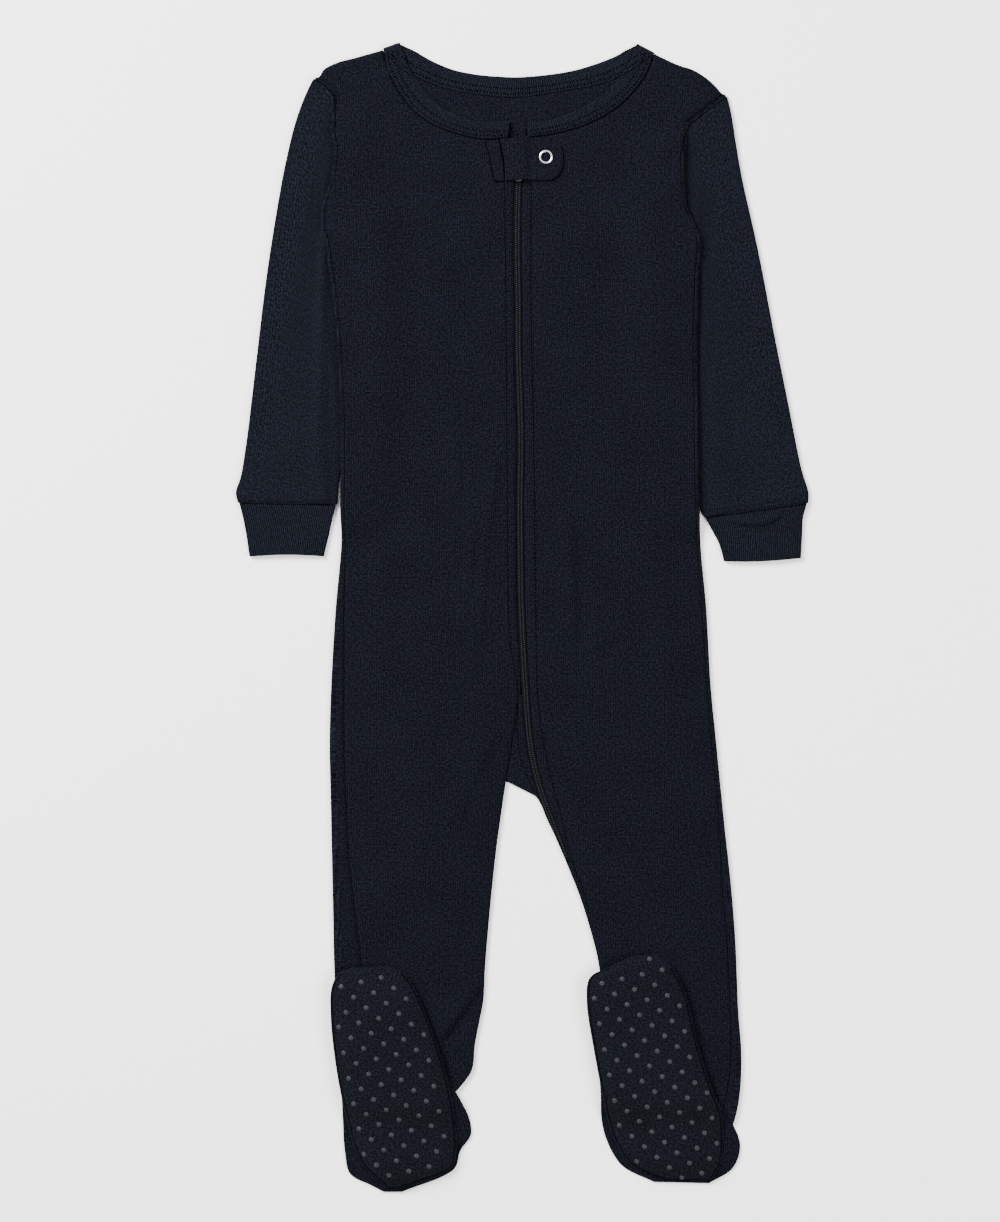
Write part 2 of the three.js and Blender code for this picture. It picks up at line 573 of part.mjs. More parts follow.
// Sleeves and cuffs: flattened tubes, open at both ends
function tube(outerEdge, innerEdge, top, bottom, puffHigh) {
  const columns = top.length - 1;
  const plan = fill(outerEdge, innerEdge, top, bottom);
  const bends = [45, 90, 135].map((degrees) => degrees * Math.PI / 180);
  const inner = [];
  const outer = [];
  for (const row of plan) {
    const [first, last] = [row[0], row[columns]];
    const length = Math.hypot(last[0] - first[0], last[1] - first[1]);
    const direction = [(last[0] - first[0]) / length, (last[1] - first[1]) / length];
    const inset = row.map(([x, y], c) => {
      const shift = FOLD * (1 - 2 * c / columns);
      return [x + direction[0] * shift, y + direction[1] * shift];
    });
    const raised = (c) => puffHigh * smooth(5 * c / columns) * smooth(5 * (1 - c / columns));
    const low = inset.map(([x, y]) => [x, y, WALL / 2, 0, -1]);
    const high = inset.map(([x, y], c) => [x, y, WALL / 2 + LAYER + raised(c), 0, 1]).reverse();
    const turn = ([x, y], sign, angles) => angles.map((a) => {
      const out = sign * Math.sin(a);
      return [x + out * direction[0] * LAYER / 2, y + out * direction[1] * LAYER / 2,
        WALL / 2 + (1 - Math.cos(a)) * LAYER / 2, out, -Math.cos(a)];
    });
    const path = [
      ...low,
      ...turn(inset[columns], 1, bends),
      ...high,
      ...turn(inset[0], -1, [...bends].reverse()),
    ];
    const offset = (sign) => path.map(([x, y, z, out, nz]) => [
      x + sign * out * direction[0] * WALL / 2,
      y + sign * out * direction[1] * WALL / 2,
      z + sign * nz * WALL / 2]);
    outer.push(offset(1));
    inner.push(offset(-1));
  }
  return solid(outer, inner, () => true, true);
}

const SLEEVE_COLUMNS = 12;
const SLEEVE_ROWS = 12;
function sleeve(outerEdge, innerEdge, armhole) {
  const down = even(SLEEVE_ROWS);
  const outside = along(outerEdge, down);
  const inside = along(innerEdge, down);
  const hem = straight(outerEdge.at(-1), innerEdge.at(-1), SLEEVE_COLUMNS);
  return tube(outside, inside, along(armhole, even(SLEEVE_COLUMNS)), hem, SLEEVE_PUFF);
}

function cuff(outerEdge, innerEdge, bow) {
  const columns = 8;
  const rows = 4;
  const down = even(rows);
  const outside = along(outerEdge, down);
  const inside = along(innerEdge, down);
  const top = straight(outside[0], inside[0], columns);
  const bottom = straight(outside[rows], inside[rows], columns).map(([x, y], c) =>
    [x, y + bow * Math.sin(Math.PI * c / columns)]);
  return tube(outside, inside, top, bottom, SLEEVE_PUFF);
}
const RIGHT_ARM = [leftSleeveOuter, leftSleeveInner, leftArmhole];
const LEFT_ARM = [rightSleeveOuter, rightSleeveInner, rightArmhole];
add("sleeve_right", sleeve(...RIGHT_ARM), navy);
add("cuff_right", cuff(leftCuffOuter, leftCuffInner, 1), rib);
add("sleeve_left", flip(sleeve(...LEFT_ARM)), navy);
add("cuff_left", flip(cuff(rightCuffOuter, rightCuffInner, -1)), rib);

// Turns a solid's faces over, for a piece laid out from right to left
function flip(geometry) {
  const p = geometry.attributes.position;
  for (let i = 0; i < p.count; i += 3) {
    const b = [p.getX(i + 1), p.getY(i + 1), p.getZ(i + 1)];
    p.setXYZ(i + 1, p.getX(i + 2), p.getY(i + 2), p.getZ(i + 2));
    p.setXYZ(i + 2, ...b);
  }
  geometry.computeVertexNormals();
  return geometry;
}

// Neckband: one rib strip, front to back round both shoulders, where it folds over
function neckband() {
  const stretch = (table, count) => {
    const seam = along(table.rows.map((r) => [r[0], r[1]]), even(count));
    const free = along(table.rows.map((r) => [r[2], r[3]]), even(count));
    return seam.map((p, i) => [p, free[i]]);
  };
  const frontHigh = LAYER + WALL / 2;
  const rows = [];
  const lay = (pairs, z, up) => pairs.forEach(([a, b]) => rows.push({ a, b, z, out: [0, 0], up }));
  const bends = [45, 90, 135].map((degrees) => degrees * Math.PI / 180);
  const turn = ([a, b], angles) => {
    const length = Math.hypot(b[0] - a[0], b[1] - a[1]);
    const sign = a[0] < 0 ? 1 : -1;
    const away = [-sign * (b[1] - a[1]) / length, sign * (b[0] - a[0]) / length];
    for (const angle of angles) {
      const out = Math.sin(angle);
      const move = ([x, y]) => [x + away[0] * out * LAYER / 2, y + away[1] * out * LAYER / 2];
      rows.push({
        a: move(a), b: move(b), up: Math.cos(angle),
        z: WALL / 2 + LAYER / 2 + Math.cos(angle) * LAYER / 2,
        out: [away[0] * out, away[1] * out],
      });
    }
  };
  const left = stretch(leftNeck, 16).reverse();
  const back = stretch(backNeck, 30);
  const right = stretch(rightNeck, 16);
  lay(left, frontHigh, 1);
  turn(back[0], bends);
  lay(back, WALL / 2, -1);
  turn(back[back.length - 1], [...bends].reverse());
  lay(right, frontHigh, 1);
  const offset = (sign) => rows.map(({ a, b, z, out, up }) => even(2).map((t) => [
    mix(a[0], b[0], t) + sign * out[0] * WALL / 2,
    mix(a[1], b[1], t) + sign * out[1] * WALL / 2,
    z + sign * up * WALL / 2]));
  return solid(offset(-1), offset(1));
}
add("neckband", flip(neckband()), rib);

// Guard over the top of the zip and the placket beside it, on the fronts
function pairPlan(table, rows, columns) {
  const left = along(table.rows.map((r) => [r[0], r[1]]), even(rows));
  const right = along(table.rows.map((r) => [r[2], r[3]]), even(rows));
  return left.map((p, i) => straight(p, right[i], columns));
}
const overSlider = (x) =>
  1 - smooth((Math.abs(x - SLIDER.x) - SLIDER_ROOM.half) / SLIDER_ROOM.ramp);
const guardRise = pullBase + PULL.high - frontTop(SLIDER.x, PULL.bottom);
const guardUnder = (x, y) => frontTop(x, y) + GAP + guardRise * overSlider(x);
add("zip_guard", sheet(pairPlan(guardEdges, 8, 12), guardUnder), navy);
add("placket_strip",
  sheet(pairPlan(placketEdges, 5, 3), (x, y) => frontTop(x, y) + GAP, () => 1), navy);
const snapProfile = even(8).map((t) => {
  const a = -2 * Math.PI * t;
  const middle = (SNAP.outer + SNAP.inner) / 2;
  const half = (SNAP.outer - SNAP.inner) / 2;
  return new THREE.Vector2(middle + half * Math.cos(a), -SNAP.height / 2 * Math.sin(a));
});
const ringGeometry = new THREE.LatheGeometry(snapProfile, 20);
const ring = add("snap_ring", ringGeometry, metal);
ring.rotation.x = Math.PI / 2;
ring.position.set(SNAP.x, SNAP.y, guardUnder(SNAP.x, SNAP.y) + WALL + GAP + SNAP.height / 2);

// Feet, turned up over the legs so that the soles face up
const footUnder = (x, y) =>
  (frontTop(x, y) + GAP) * smooth(share(y, HEEL_PLAN.floor, HEEL_PLAN.leg));
const rim = (u, v) => smooth(6 * Math.min(u, 1 - u)) * smooth(7 * Math.min(v, 1 - v));

function foot(name, upperEdges, soleEdges) {
  const rows = 13;
  const columns = 10;
  add(`foot_${name}`, sheet(pairPlan(upperEdges, rows, columns), footUnder,
    (u, v) => WALL + (FOOT_LAYER - WALL) * rim(u, v)), navy);
  const over = (x, y) => footUnder(x, y) + FOOT_LAYER + GAP;
  const plan = pairPlan(soleEdges, rows, columns);
  const inner = plan.map((row, r) => row.map(([x, y], c) =>
    [x, y, over(x, y) + FOOT_PUFF * rim(c / columns, r / rows)]));
  const outer = inner.map((row) => row.map(([x, y, z]) => [x, y, z + WALL]));
  add(`sole_${name}`, solid(inner, outer), sole);
}
foot("right", leftUpperEdges, leftSoleEdges);
foot("left", rightUpperEdges, rightSoleEdges);

export default onesie;
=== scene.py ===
"""A baby's footed onesie pajama in ribbed navy knit, laid flat and seen from straight above.

Tables and heights are in millimetres and turned to metres where a mesh is made. Names of pieces
say the wearer's side; LEFT and RIGHT in the tables are sides of the picture, unless they name an
arm or a part of a foot.
"""
import math

import bpy
import numpy as np
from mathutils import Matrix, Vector
from mathutils.bvhtree import BVHTree


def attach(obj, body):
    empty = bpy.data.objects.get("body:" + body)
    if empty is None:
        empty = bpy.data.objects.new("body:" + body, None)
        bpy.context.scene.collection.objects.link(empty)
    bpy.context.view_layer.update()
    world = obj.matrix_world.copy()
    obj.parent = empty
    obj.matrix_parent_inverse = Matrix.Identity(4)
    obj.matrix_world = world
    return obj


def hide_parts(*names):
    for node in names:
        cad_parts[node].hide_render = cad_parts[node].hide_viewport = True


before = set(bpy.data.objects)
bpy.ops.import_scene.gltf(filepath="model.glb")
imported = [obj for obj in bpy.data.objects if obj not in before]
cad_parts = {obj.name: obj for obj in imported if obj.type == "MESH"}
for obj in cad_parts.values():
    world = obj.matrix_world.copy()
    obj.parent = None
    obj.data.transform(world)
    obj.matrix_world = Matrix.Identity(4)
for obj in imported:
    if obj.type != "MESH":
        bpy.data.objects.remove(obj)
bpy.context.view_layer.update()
MM = 0.001

# Cloth and layers
WALL = 1.2
GAP = 0.3
LAYER = WALL + GAP
FOLD = WALL / 2 + LAYER / 2
SIDE_GAP = 0.2
NECK_GAP = 0.1
BELLY = 1.5
SLEEVE_PUFF = 0.3
SLEEVE_LIFT = 2 * WALL + 2 * GAP + SLEEVE_PUFF + 0.2
BACK_RAMP = 26
FRONT_RAMP = 38
RAMP_ROOM = 0.8
CUFF_TUCK = 0.9
CUFF_PUFF = 0.2
CUFF_RIBS = 40
ARMHOLE_GAP = -0.25
RIB = 1.35
STITCH = 2.4

# Height, outline and the side seam seen from the front
LEFT_SIDE = [
    (324.5, -124, -122), (322, -121.5, -119.5), (318.5, -116.5, -114.5), (314.5, -113, -111),
    (309, -112, -110), (303, -113.5, -111.5), (294, -115, -113), (283, -113.2, -111.2),
    (273.5, -113.5, -111.5), (263, -115, -113), (251, -119, -117), (242.5, -120.5, -118.5),
    (233.5, -120.5, -118.5), (227, -118.5, -116.5), (211, -116.5, -114), (191, -113.5, -111.4),
    (164, -111, -109), (125, -109.5, -107.3), (95, -109.2, -106.9), (66, -109.4, -107.2),
    (45, -108.8, -106.7), (5, -112.3, -107.5), (-40, -114.9, -107.5), (-76, -115.9, -107.5),
    (-105, -115.3, -106.5), (-149, -114.4, -104), (-182, -113.7, -100), (-207, -113.2, -97),
    (-235, -112, -94), (-265, -110, -92), (-284, -108.5, -91),
]
RIGHT_SIDE = [
    (314, 122, 120), (311, 119, 117), (306.5, 112.5, 110.5), (300.5, 104.5, 102.5),
    (297, 100.5, 98.5), (290, 99.2, 97.2), (280, 97.5, 95.5), (270.5, 97, 95),
    (258.5, 97.5, 95.5), (248, 98, 96), (242, 100.5, 98.5), (234.5, 104, 102),
    (224, 107.2, 105.2), (211, 106, 104), (198, 105.5, 103.5), (164, 104.5, 102.5),
    (129, 105, 103), (95, 105.5, 103.5), (60, 106.3, 104.3), (41, 107.1, 105.1),
    (5, 110.4, 108.2), (-40, 113, 111), (-76, 116.5, 114.2), (-121, 121, 118.3),
    (-163, 125.5, 120.5), (-196, 128, 123.3), (-235, 129.6, 125), (-259, 131.4, 125.6),
    (-284, 131.6, 123.6),
]
ZIP_LINE = [
    (290, -2.5), (261, -2.5), (240, -3), (215, -3), (189, -2.5), (163, -2.5), (129, -1.5),
    (103, -1), (67, -1.5), (41, -1.3), (15, -1), (-11, 0), (-37, 1.5), (-63, 3.2), (-80, 5.3),
    (-97, 9), (-111, 13.5), (-123, 18), (-133, 21.8), (-145, 26.2),
]
ZIP_HALF = 2.3
ZIP_TOP = 261.6
ZIP_END = -146
CROTCH_LINE = [(-48, -2.8), (-62, -4.2), (-76, -6.4), (-88, -8.2), (-98.5, -10)]
INNER_LEFT = [
    (-98.5, -10), (-112, -12), (-139, -15.7), (-175, -19.5), (-211, -22.5), (-229, -23.4),
    (-243, -26), (-256, -28.5), (-272, -30.6), (-284, -39.4),
]
INNER_RIGHT = [
    (-106, 7.5), (-112, 11), (-121, 14.7), (-130, 19), (-139, 23), (-148, 26.8), (-166, 34),
    (-184, 39.8), (-202, 44.6), (-220, 47.8), (-235, 51.3), (-259, 53.3), (-284, 54.5),
]
CROTCH = [(-10, -98.5), (-4.5, -99.2), (1, -102), (7.5, -106)]
CROTCH_Y = -98.5
INNER_TOP = -106
LEG_END = -284
# The turned strip beside the zip at the crotch, and how far it lies below the front
STRIP_TOP = -46
STRIP_LEFT_END, STRIP_RIGHT_END = -98, -108
STRIP_DIP = 0.25
# The left leg's lower corner, which hangs past the foot's heel
HEEL_CORNER = {"from": 113.4, "to": 131.6, "top": -259, "drop": 20.5, "inward": 5}
LEFT_SHOULDER = [(-124, 324.5), (-119.5, 329), (-110.5, 333.7), (-101.5, 336), (-83.9, 341)]
RIGHT_SHOULDER = [
    (122.2, 314.2), (116, 319), (110.5, 324), (102.5, 329), (93.5, 332), (79.2, 338.6),
]
# Neckband: seam and free edge
LEFT_NECK = [
    (-83.4, 340.8, -73.2, 344.4), (-82, 331, -71, 338.5), (-79, 324, -67.5, 329),
    (-75, 317, -61.5, 320.5), (-68.5, 307.5, -55.5, 313), (-61, 300.5, -48.5, 306.5),
    (-51, 294.7, -40, 302), (-37, 289.8, -30.5, 298.7), (-23.5, 287.3, -21.5, 297.8),
    (-9, 288, -7.5, 298),
]
RIGHT_NECK = [
    (78.7, 338.3, 68.2, 343.9), (76, 330, 63, 331.5), (68.5, 318, 54.5, 320.5),
    (57.5, 307, 44.5, 311.5), (44.5, 299, 30.5, 304), (30.5, 293.5, 16.5, 299),
    (14.5, 289.8, 9, 297.6), (3.5, 288.6, 3, 297.6),
]
BACK_NECK = [
    LEFT_NECK[0], (-78.5, 334, -65, 340.7), (-71, 327.7, -55.5, 335.2),
    (-58.5, 322, -47.5, 331.5), (-48, 318, -40, 328.9), (-37.5, 315.5, -26.5, 326.3),
    (-13.5, 312.5, -13.5, 325.2), (-2, 312.3, -1, 324.9), (24, 316, 30.5, 328.8),
    (51, 321.4, 54.5, 336.8), (66, 329, 62.2, 341), RIGHT_NECK[0],
]
RIGHT_ARM = {
    "armhole": [
        (-126, 323.8), (-121.9, 321.6), (-117.1, 318), (-113.7, 314.1), (-112.8, 309.2),
        (-112.4, 303), (-112.2, 294), (-111.6, 284), (-110.4, 272), (-108.2, 262),
        (-105.5, 242), (-103.5, 213.5),
    ],
    "outer": [
        (-126, 323.8), (-131.5, 312), (-137, 296.5), (-142, 276), (-146, 255.5),
        (-153.8, 206), (-160.3, 152), (-166.3, 102.5), (-169.5, 84), (-172.2, 75.5),
        (-171, 69.3),
    ],
    "inner": [
        (-103.5, 213.5), (-101.3, 188), (-101, 160), (-102.5, 130), (-107, 99.5),
        (-110.2, 80), (-111, 68.3),
    ],
    "cuff outer": [(-170, 68.6), (-168, 60.5), (-166.1, 51), (-164, 36.9)],
    "cuff inner": [(-112, 67.6), (-114.1, 59.5), (-115.9, 51), (-119.2, 37)],
    "bow": 1,
    "folded cuff": False,
}
LEFT_ARM = {
    "armhole": [
        (123.1, 313.4), (119.7, 310.7), (113.2, 306), (105.3, 300), (100.6, 296),
        (97.6, 289), (96.2, 279), (95, 268), (93, 250), (92.5, 232), (94.5, 213.5),
    ],
    "outer": [
        (123.1, 313.4), (125.8, 302), (128.6, 284), (132.1, 264), (141.6, 221), (151.4, 170),
        (160.4, 125), (167.7, 89), (171.8, 75), (171.6, 69),
    ],
    "inner": [
        (94.5, 213.5), (93.5, 188), (93.5, 160), (96.5, 130), (103, 99.5), (105.2, 80),
        (105.6, 70), (106.8, 64.5), (109.2, 60.5),
    ],
    "cuff outer": [(170.7, 68.2), (168.5, 60), (168, 50), (167.2, 36)],
    "cuff inner": [(109.8, 59.9), (114.4, 51.5), (118, 44.5), (121, 34)],
    "bow": -1,
    "folded cuff": True,
}
# Where the body lies on the sleeves: inner edge of the sleeve under it
LEFT_TUCK = [
    (294, -114), (284, -113), (272, -110.3), (262, -108.5), (242, -105.5), (213.5, -103.5),
    (188, -101.3), (160, -101), (130, -102.5), (99.5, -107), (70, -110),
]
RIGHT_TUCK = [
    (289, 99), (278, 97.5), (266, 95.6), (250, 92.5), (232, 92), (213.5, 94.5),
    (188, 93.5), (160, 93.5), (130, 96.5), (99.5, 103.5), (62.5, 107.5),
]
# Heights from which the body starts to rise on each sleeve, has risen, and is down again
LEFT_LIFT, RIGHT_LIFT = (313, 286), (302, 275)
LIFT_END, LIFT_FADE = 44, 20
# Feet: left and right edges of the sole and of the folded upper under it
RIGHT_SOLE = [
    (-102.5, -209.5, -80, -209), (-110, -213, -71, -213), (-114.3, -221, -65, -221.5),
    (-115, -238, -58, -237), (-112, -267.5, -47.5, -267), (-107, -294, -41.7, -293),
    (-100.5, -319, -39.4, -318), (-95, -328.5, -42.5, -329.5), (-88, -335, -60, -336.5),
    (-82, -341, -73, -341.5),
]
RIGHT_UPPER = [
    (-101.5, -212, -82, -212), (-108.5, -215.5, -73.5, -215.5), (-112.3, -224, -67.5, -223),
    (-113, -240, -59.5, -238.5), (-110, -268, -49, -268), (-108.5, -287, -40, -284),
    (-108, -300, -32, -300.5), (-106.7, -321, -31, -310.5), (-103.5, -334, -37.3, -320),
    (-91, -340.6, -41, -331), (-83, -344.8, -72.5, -344.8),
]
LEFT_SOLE = [
    (66, -202.5, 80, -201.5), (51, -209.5, 89.5, -209.5), (40.3, -215.5, 95, -218.5),
    (38.4, -229, 99.5, -231), (43.3, -262, 105.5, -257.5), (47.7, -285, 114, -283.5),
    (51, -301, 119.5, -298), (55.5, -314, 120.5, -312), (64.4, -327, 119, -326.6),
    (84, -336.2, 113.5, -336.4),
]
LEFT_UPPER = [
    (67, -205, 79.5, -204), (53, -211.5, 88, -212), (42.3, -217.5, 93, -220),
    (40.4, -231, 98, -232.5), (44.8, -263, 104.5, -260), (46.8, -285, 114.5, -286),
    (47.3, -300, 125.3, -302), (50.3, -313, 130.8, -317), (59.6, -328.8, 126.4, -330.4),
    (79, -338.8, 112, -339.6),
]
FOOT_LAYER = 3.2
FOOT_PUFF = 2.4
HEEL_FLOOR, HEEL_LEG = -305, -288.5
PUCKER = {"height": 0.35, "turns": 30, "reach": 0.055}
GUARD = [
    (-13.6, 287.6, 14.5, 288), (-13.1, 285, 19.4, 286.7), (-12.2, 281, 22.9, 283),
    (-11.3, 277, 24.3, 277.4), (-10.8, 271, 23.9, 271), (-10.6, 267, 21.6, 266.2),
    (-10.6, 262.5, 17.2, 262.9),
]
# The two rows of topstitching that hold the zip's folded edges
LEFT_TOPSTITCH = [
    (261, -10.8), (180.6, -9.9), (94.8, -9.3), (-13, -7.5), (-36, -3.9), (-51, -2.7),
    (-65, -3.3), (-82, -1.5), (-93.6, 2.1), (-105, 7.5),
]
RIGHT_TOPSTITCH = [
    (261, 5.1), (180, 5.1), (94.8, 6.9), (-13, 8.1), (-42, 8.7), (-65, 11.1), (-86, 14.7),
    (-105, 19.5), (-120, 23.7), (-135, 27), (-149, 30.9), (-161, 35.7), (-174, 39.3),
]
PLACKET = [
    (-22.2, 286.4, -14.2, 287), (-19.6, 277, -12, 277.5), (-16.6, 262.2, -11, 262.2),
]
GUARD_HEM, GUARD_FOLD = 270.6, -6.3
SNAP = {"x": 14, "y": 276.5, "outer": 4.1, "inner": 2.95}
SLIDER = {"x": -2.6, "top": 270, "bottom": 262, "wide": 4.4, "high": 1.7}
PULL = {"top": 281, "bottom": 269, "wide": 3.6, "high": 0.8}

# Soft folds of the front as in the solids: from, to, height, width
FOLDS = [
    (-31, 92, -29, -48, 1.0, 6), (-17, 66, -21, -12, 0.9, 6), (26, 72, 29, -34, 1.0, 6),
    (42, 40, 44, -42, 0.7, 7), (-70, 0, -56, -44, 0.8, 8), (-92, 250, -70, 120, 0.7, 10),
    (84, 262, 60, 150, 0.8, 10), (70, 292, 88, 318, 0.6, 7), (-60, -110, -66, -178, 0.8, 8),
    (84, -96, 92, -172, 0.8, 9), (-86, 60, -80, -40, 0.6, 9), (80, 60, 88, -30, 0.6, 9),
]
# Finer creases, given one by one: troughs are below nought
CREASES = [
    (-106, 296, -92, 262, -0.5, 3.2), (-104, 268, -84, 246, -0.4, 3.0),
    (-112, 236, -90, 214, 0.5, 3.6), (-110, 222, -94, 188, -0.5, 3.0),
    (92, 282, 76, 252, -0.5, 3.2), (94, 262, 74, 240, 0.4, 3.4), (100, 240, 82, 206, -0.5, 3.4),
    (98, 226, 88, 176, 0.4, 4.0), (-10, -60, -34, -92, 0.5, 4.0), (-12, -76, -40, -116, -0.5, 3.4),
    (-13, -92, -34, -140, 0.4, 3.2), (12, -70, 44, -98, 0.5, 4.4), (16, -92, 52, -128, -0.5, 3.6),
    (30, -132, 62, -158, 0.4, 4.0), (-36, 66, -33, -34, -0.7, 2.6), (-24, 30, -27, -20, -0.5, 2.6),
    (34, 58, 36, -30, -0.7, 3.0), (-63, -4, -58, -34, -0.5, 2.4), (50, 96, 54, 28, 0.4, 4.6),
    (-50, 180, -44, 96, 0.4, 6), (46, 210, 40, 120, -0.4, 5), (-76, 150, -70, 60, -0.35, 5),
    (-104, -60, -92, -128, 0.5, 5), (-84, -120, -90, -196, -0.5, 4), (-40, -150, -36, -204, 0.5, 4),
    (72, -120, 78, -192, -0.5, 4), (104, -100, 112, -180, 0.5, 5), (58, -166, 66, -208, -0.4, 3.4),
    (-58, 280, -40, 262, 0.35, 5), (44, 286, 30, 268, 0.3, 5), (74, 300, 90, 316, -0.4, 3),
    (-90, 318, -104, 326, 0.35, 4), (-22, -219, -48, -258, -0.9, 2.4),
    (-27, -217, -53, -256, 0.8, 4), (-52, -262, -34, -276, -0.6, 2),
    (108, -238, 124, -270, 0.5, 4), (112, -258, 122, -282, -0.4, 3),
]
# Width in which a lap drops on its sharp side
LAP_STEP = 1.8
# Laps: from, to, height, width of the soft side
LAPS = [
    (-20, -215.5, -52, -257.5, 2.0, 11), (-12, -62, -40, -128, 0.7, 9), (26, -84, 58, -134, 0.7, 9),
    (-12, 103, -21, 42, 1.5, 6), (-21, 50, -24, -16, 1.6, 5), (-38, 110, -37, 66, 1.0, 6),
    (-27, 60, -36, -18, 1.6, 5), (28, 72, 35, -18, 1.5, 7), (94, 292, 70, 322, 0.8, 8),
]
# Heights between which the front stands off the back, and the slope from the side seams
PUFF_TOP, PUFF_END, PUFF_RAMP = 262, -186, 26
SHOULDER_TOP = 325
# The zip's folded edge with the stitched channel beside it
ZIP_PAD = {"from zip": 4.6, "width": 1.5, "height": 0.45}
CHANNEL = {"width": 0.7, "depth": 0.5}
# Where a seam draws the cloth in
TUCK_SPOT = {"radius": 2.2, "depth": 0.3}
SEAM_TUCKS = [(-9, -52), (-14, -99), (12, -112), (-78, 322), (72, 322), (-20, 284), (26, 290)]
# Creases of the sleeves: along and across the sleeve as shares, to the same, height, width
SLEEVE_CREASES = [
    (0.10, 0.25, 0.30, 0.62, 0.5, 4), (0.16, 0.15, 0.34, 0.40, -0.4, 3),
    (0.36, 0.62, 0.62, 0.78, 0.5, 4), (0.44, 0.50, 0.58, 0.66, -0.4, 3),
    (0.62, 0.22, 0.84, 0.30, 0.4, 4), (0.70, 0.55, 0.93, 0.62, -0.4, 3),
    (0.88, 0.12, 0.99, 0.18, -0.4, 2), (0.90, 0.42, 0.99, 0.44, -0.35, 2),
    (0.90, 0.80, 0.99, 0.78, -0.4, 2),
]
# How far each sleeve swells up outside the body's edge
SLEEVE_SWELL = {"right": 1.7, "left": 0.6}
SWELL_WIDTH = 6
# Small gathers above a cuff, a cuff's ribs and its crosswise fold, as shares of the cuff
GATHERS = {"height": 0.22, "reach": 5}
RIB_DEPTH = 0.12
CUFF_FOLD = {"place": 0.29, "width": 0.13, "height": 1.4}
# Creases of the back, which show from below: from, to, depth, width
BACK_CREASES = [
    (-60, 240, -20, 200, 0.35, 5), (50, 236, 14, 190, 0.35, 5), (-80, 120, -30, 96, 0.3, 6),
    (76, 100, 24, 84, 0.3, 6), (-40, 20, 30, 4, 0.35, 7), (-60, -60, -14, -84, 0.35, 5),
    (64, -64, 16, -88, 0.35, 5), (-90, -150, -40, -176, 0.3, 5), (104, -150, 60, -180, 0.3, 5),
    (-96, -230, -50, -246, 0.3, 4), (116, -226, 74, -246, 0.3, 4),
]


# Curves and plan grids


def smooth(t):
    s = np.clip(t, 0, 1)
    return s * s * (3 - 2 * s)


def at(table, y, column=1):
    """A table's column at height y, on the same smooth curve through its rows as in the solids."""
    rows = np.array(table, float)
    down, value = -rows[:, 0], rows[:, column]
    steps = np.arange(len(rows))
    before, after = np.maximum(steps - 1, 0), np.minimum(steps + 1, len(rows) - 1)
    slope = (value[after] - value[before]) / (down[after] - down[before])
    d = np.clip(-np.asarray(y, float), down[0], down[-1])
    i = np.clip(np.searchsorted(down, d, side="right") - 1, 0, len(rows) - 2)
    step = down[i + 1] - down[i]
    t = (d - down[i]) / step
    bend = (1 - t) ** 2 * t * slope[i] - t * t * (1 - t) * slope[i + 1]
    return value[i] + (value[i + 1] - value[i]) * smooth(t) + step * bend


def along(points, shares):
    """Points at shares of the length of a centripetal curve through the given ones."""
    p = np.array(points, float)
    p = np.vstack([2 * p[0] - p[1], p, 2 * p[-1] - p[-2]])
    gaps = np.maximum(np.linalg.norm(np.diff(p, axis=0), axis=1) ** 0.5, 1e-4)
    fine = []
    for i in range(1, len(p) - 2):
        a, b, c = gaps[i - 1], gaps[i], gaps[i + 1]
        into = ((p[i] - p[i - 1]) / a - (p[i + 1] - p[i - 1]) / (a + b) + (p[i + 1] - p[i]) / b) * b
        out = ((p[i + 1] - p[i]) / b - (p[i + 2] - p[i]) / (b + c) + (p[i + 2] - p[i + 1]) / c) * b
        t = np.linspace(0, 1, 24, endpoint=False)[:, None]
        start, end = p[i], p[i + 1]
        fine.append(
            start + into * t + (3 * (end - start) - 2 * into - out) * t**2
            + (2 * (start - end) + into + out) * t**3
        )
    fine = np.vstack([*fine, p[-2:-1]])
    run = np.concatenate([[0], np.cumsum(np.linalg.norm(np.diff(fine, axis=0), axis=1))])
    where = np.asarray(shares) * run[-1]
    return np.stack([np.interp(where, run, fine[:, k]) for k in range(2)], axis=1)


def even(count):
    return np.linspace(0, 1, count + 1)


def rimmed(count, edge=0.35):
    """Even shares, with one more close to each end so that an edge can be rounded."""
    return np.concatenate([[0, edge / count], even(count)[1:-1], [1 - edge / count, 1]])


def straight(start, end, shares):
    """Points at shares of the way between two ends."""
    start, end = np.asarray(start, float), np.asarray(end, float)
    return start + (end - start) * np.asarray(shares)[:, None]


def fill(left, right, top, bottom, u):
    """Plan points inside four edges, a row for each point of the left edge."""
    v = ((left[:, 1] - left[0, 1]) / (left[-1, 1] - left[0, 1]))[:, None, None]
    u = np.asarray(u)[None, :, None]
    lean_left = left[:, None] - (left[0] + (left[-1] - left[0]) * v)
    lean_right = right[:, None] - (right[0] + (right[-1] - right[0]) * v)
    return top[None] * (1 - v) + bottom[None] * v + (1 - u) ** 4 * lean_left + u**4 * lean_right


def pair_plan(table, rows, columns):
    """Plan points between the left and right edges of a table."""
    t = np.array(table, float)
    left, right = along(t[:, :2], rows), along(t[:, 2:], rows)
    return left[:, None] + (right - left)[:, None] * np.asarray(columns)[None, :, None]


# Heights


def ridge(x, y, x0, y0, x1, y1, height, width, ends=3, step=None):
    """A soft fold along a line; with a step it drops within that width on its right side."""
    run = math.hypot(x1 - x0, y1 - y0)
    share = ((x - x0) * (x1 - x0) + (y - y0) * (y1 - y0)) / run**2
    off = ((x - x0) * (y1 - y0) - (y - y0) * (x1 - x0)) / run
    fade = smooth(share * ends) * smooth((1 - share) * ends)
    soft = height * fade * np.exp(-((off / width) ** 2))
    return soft if step is None else soft * smooth(off / step + 0.5)


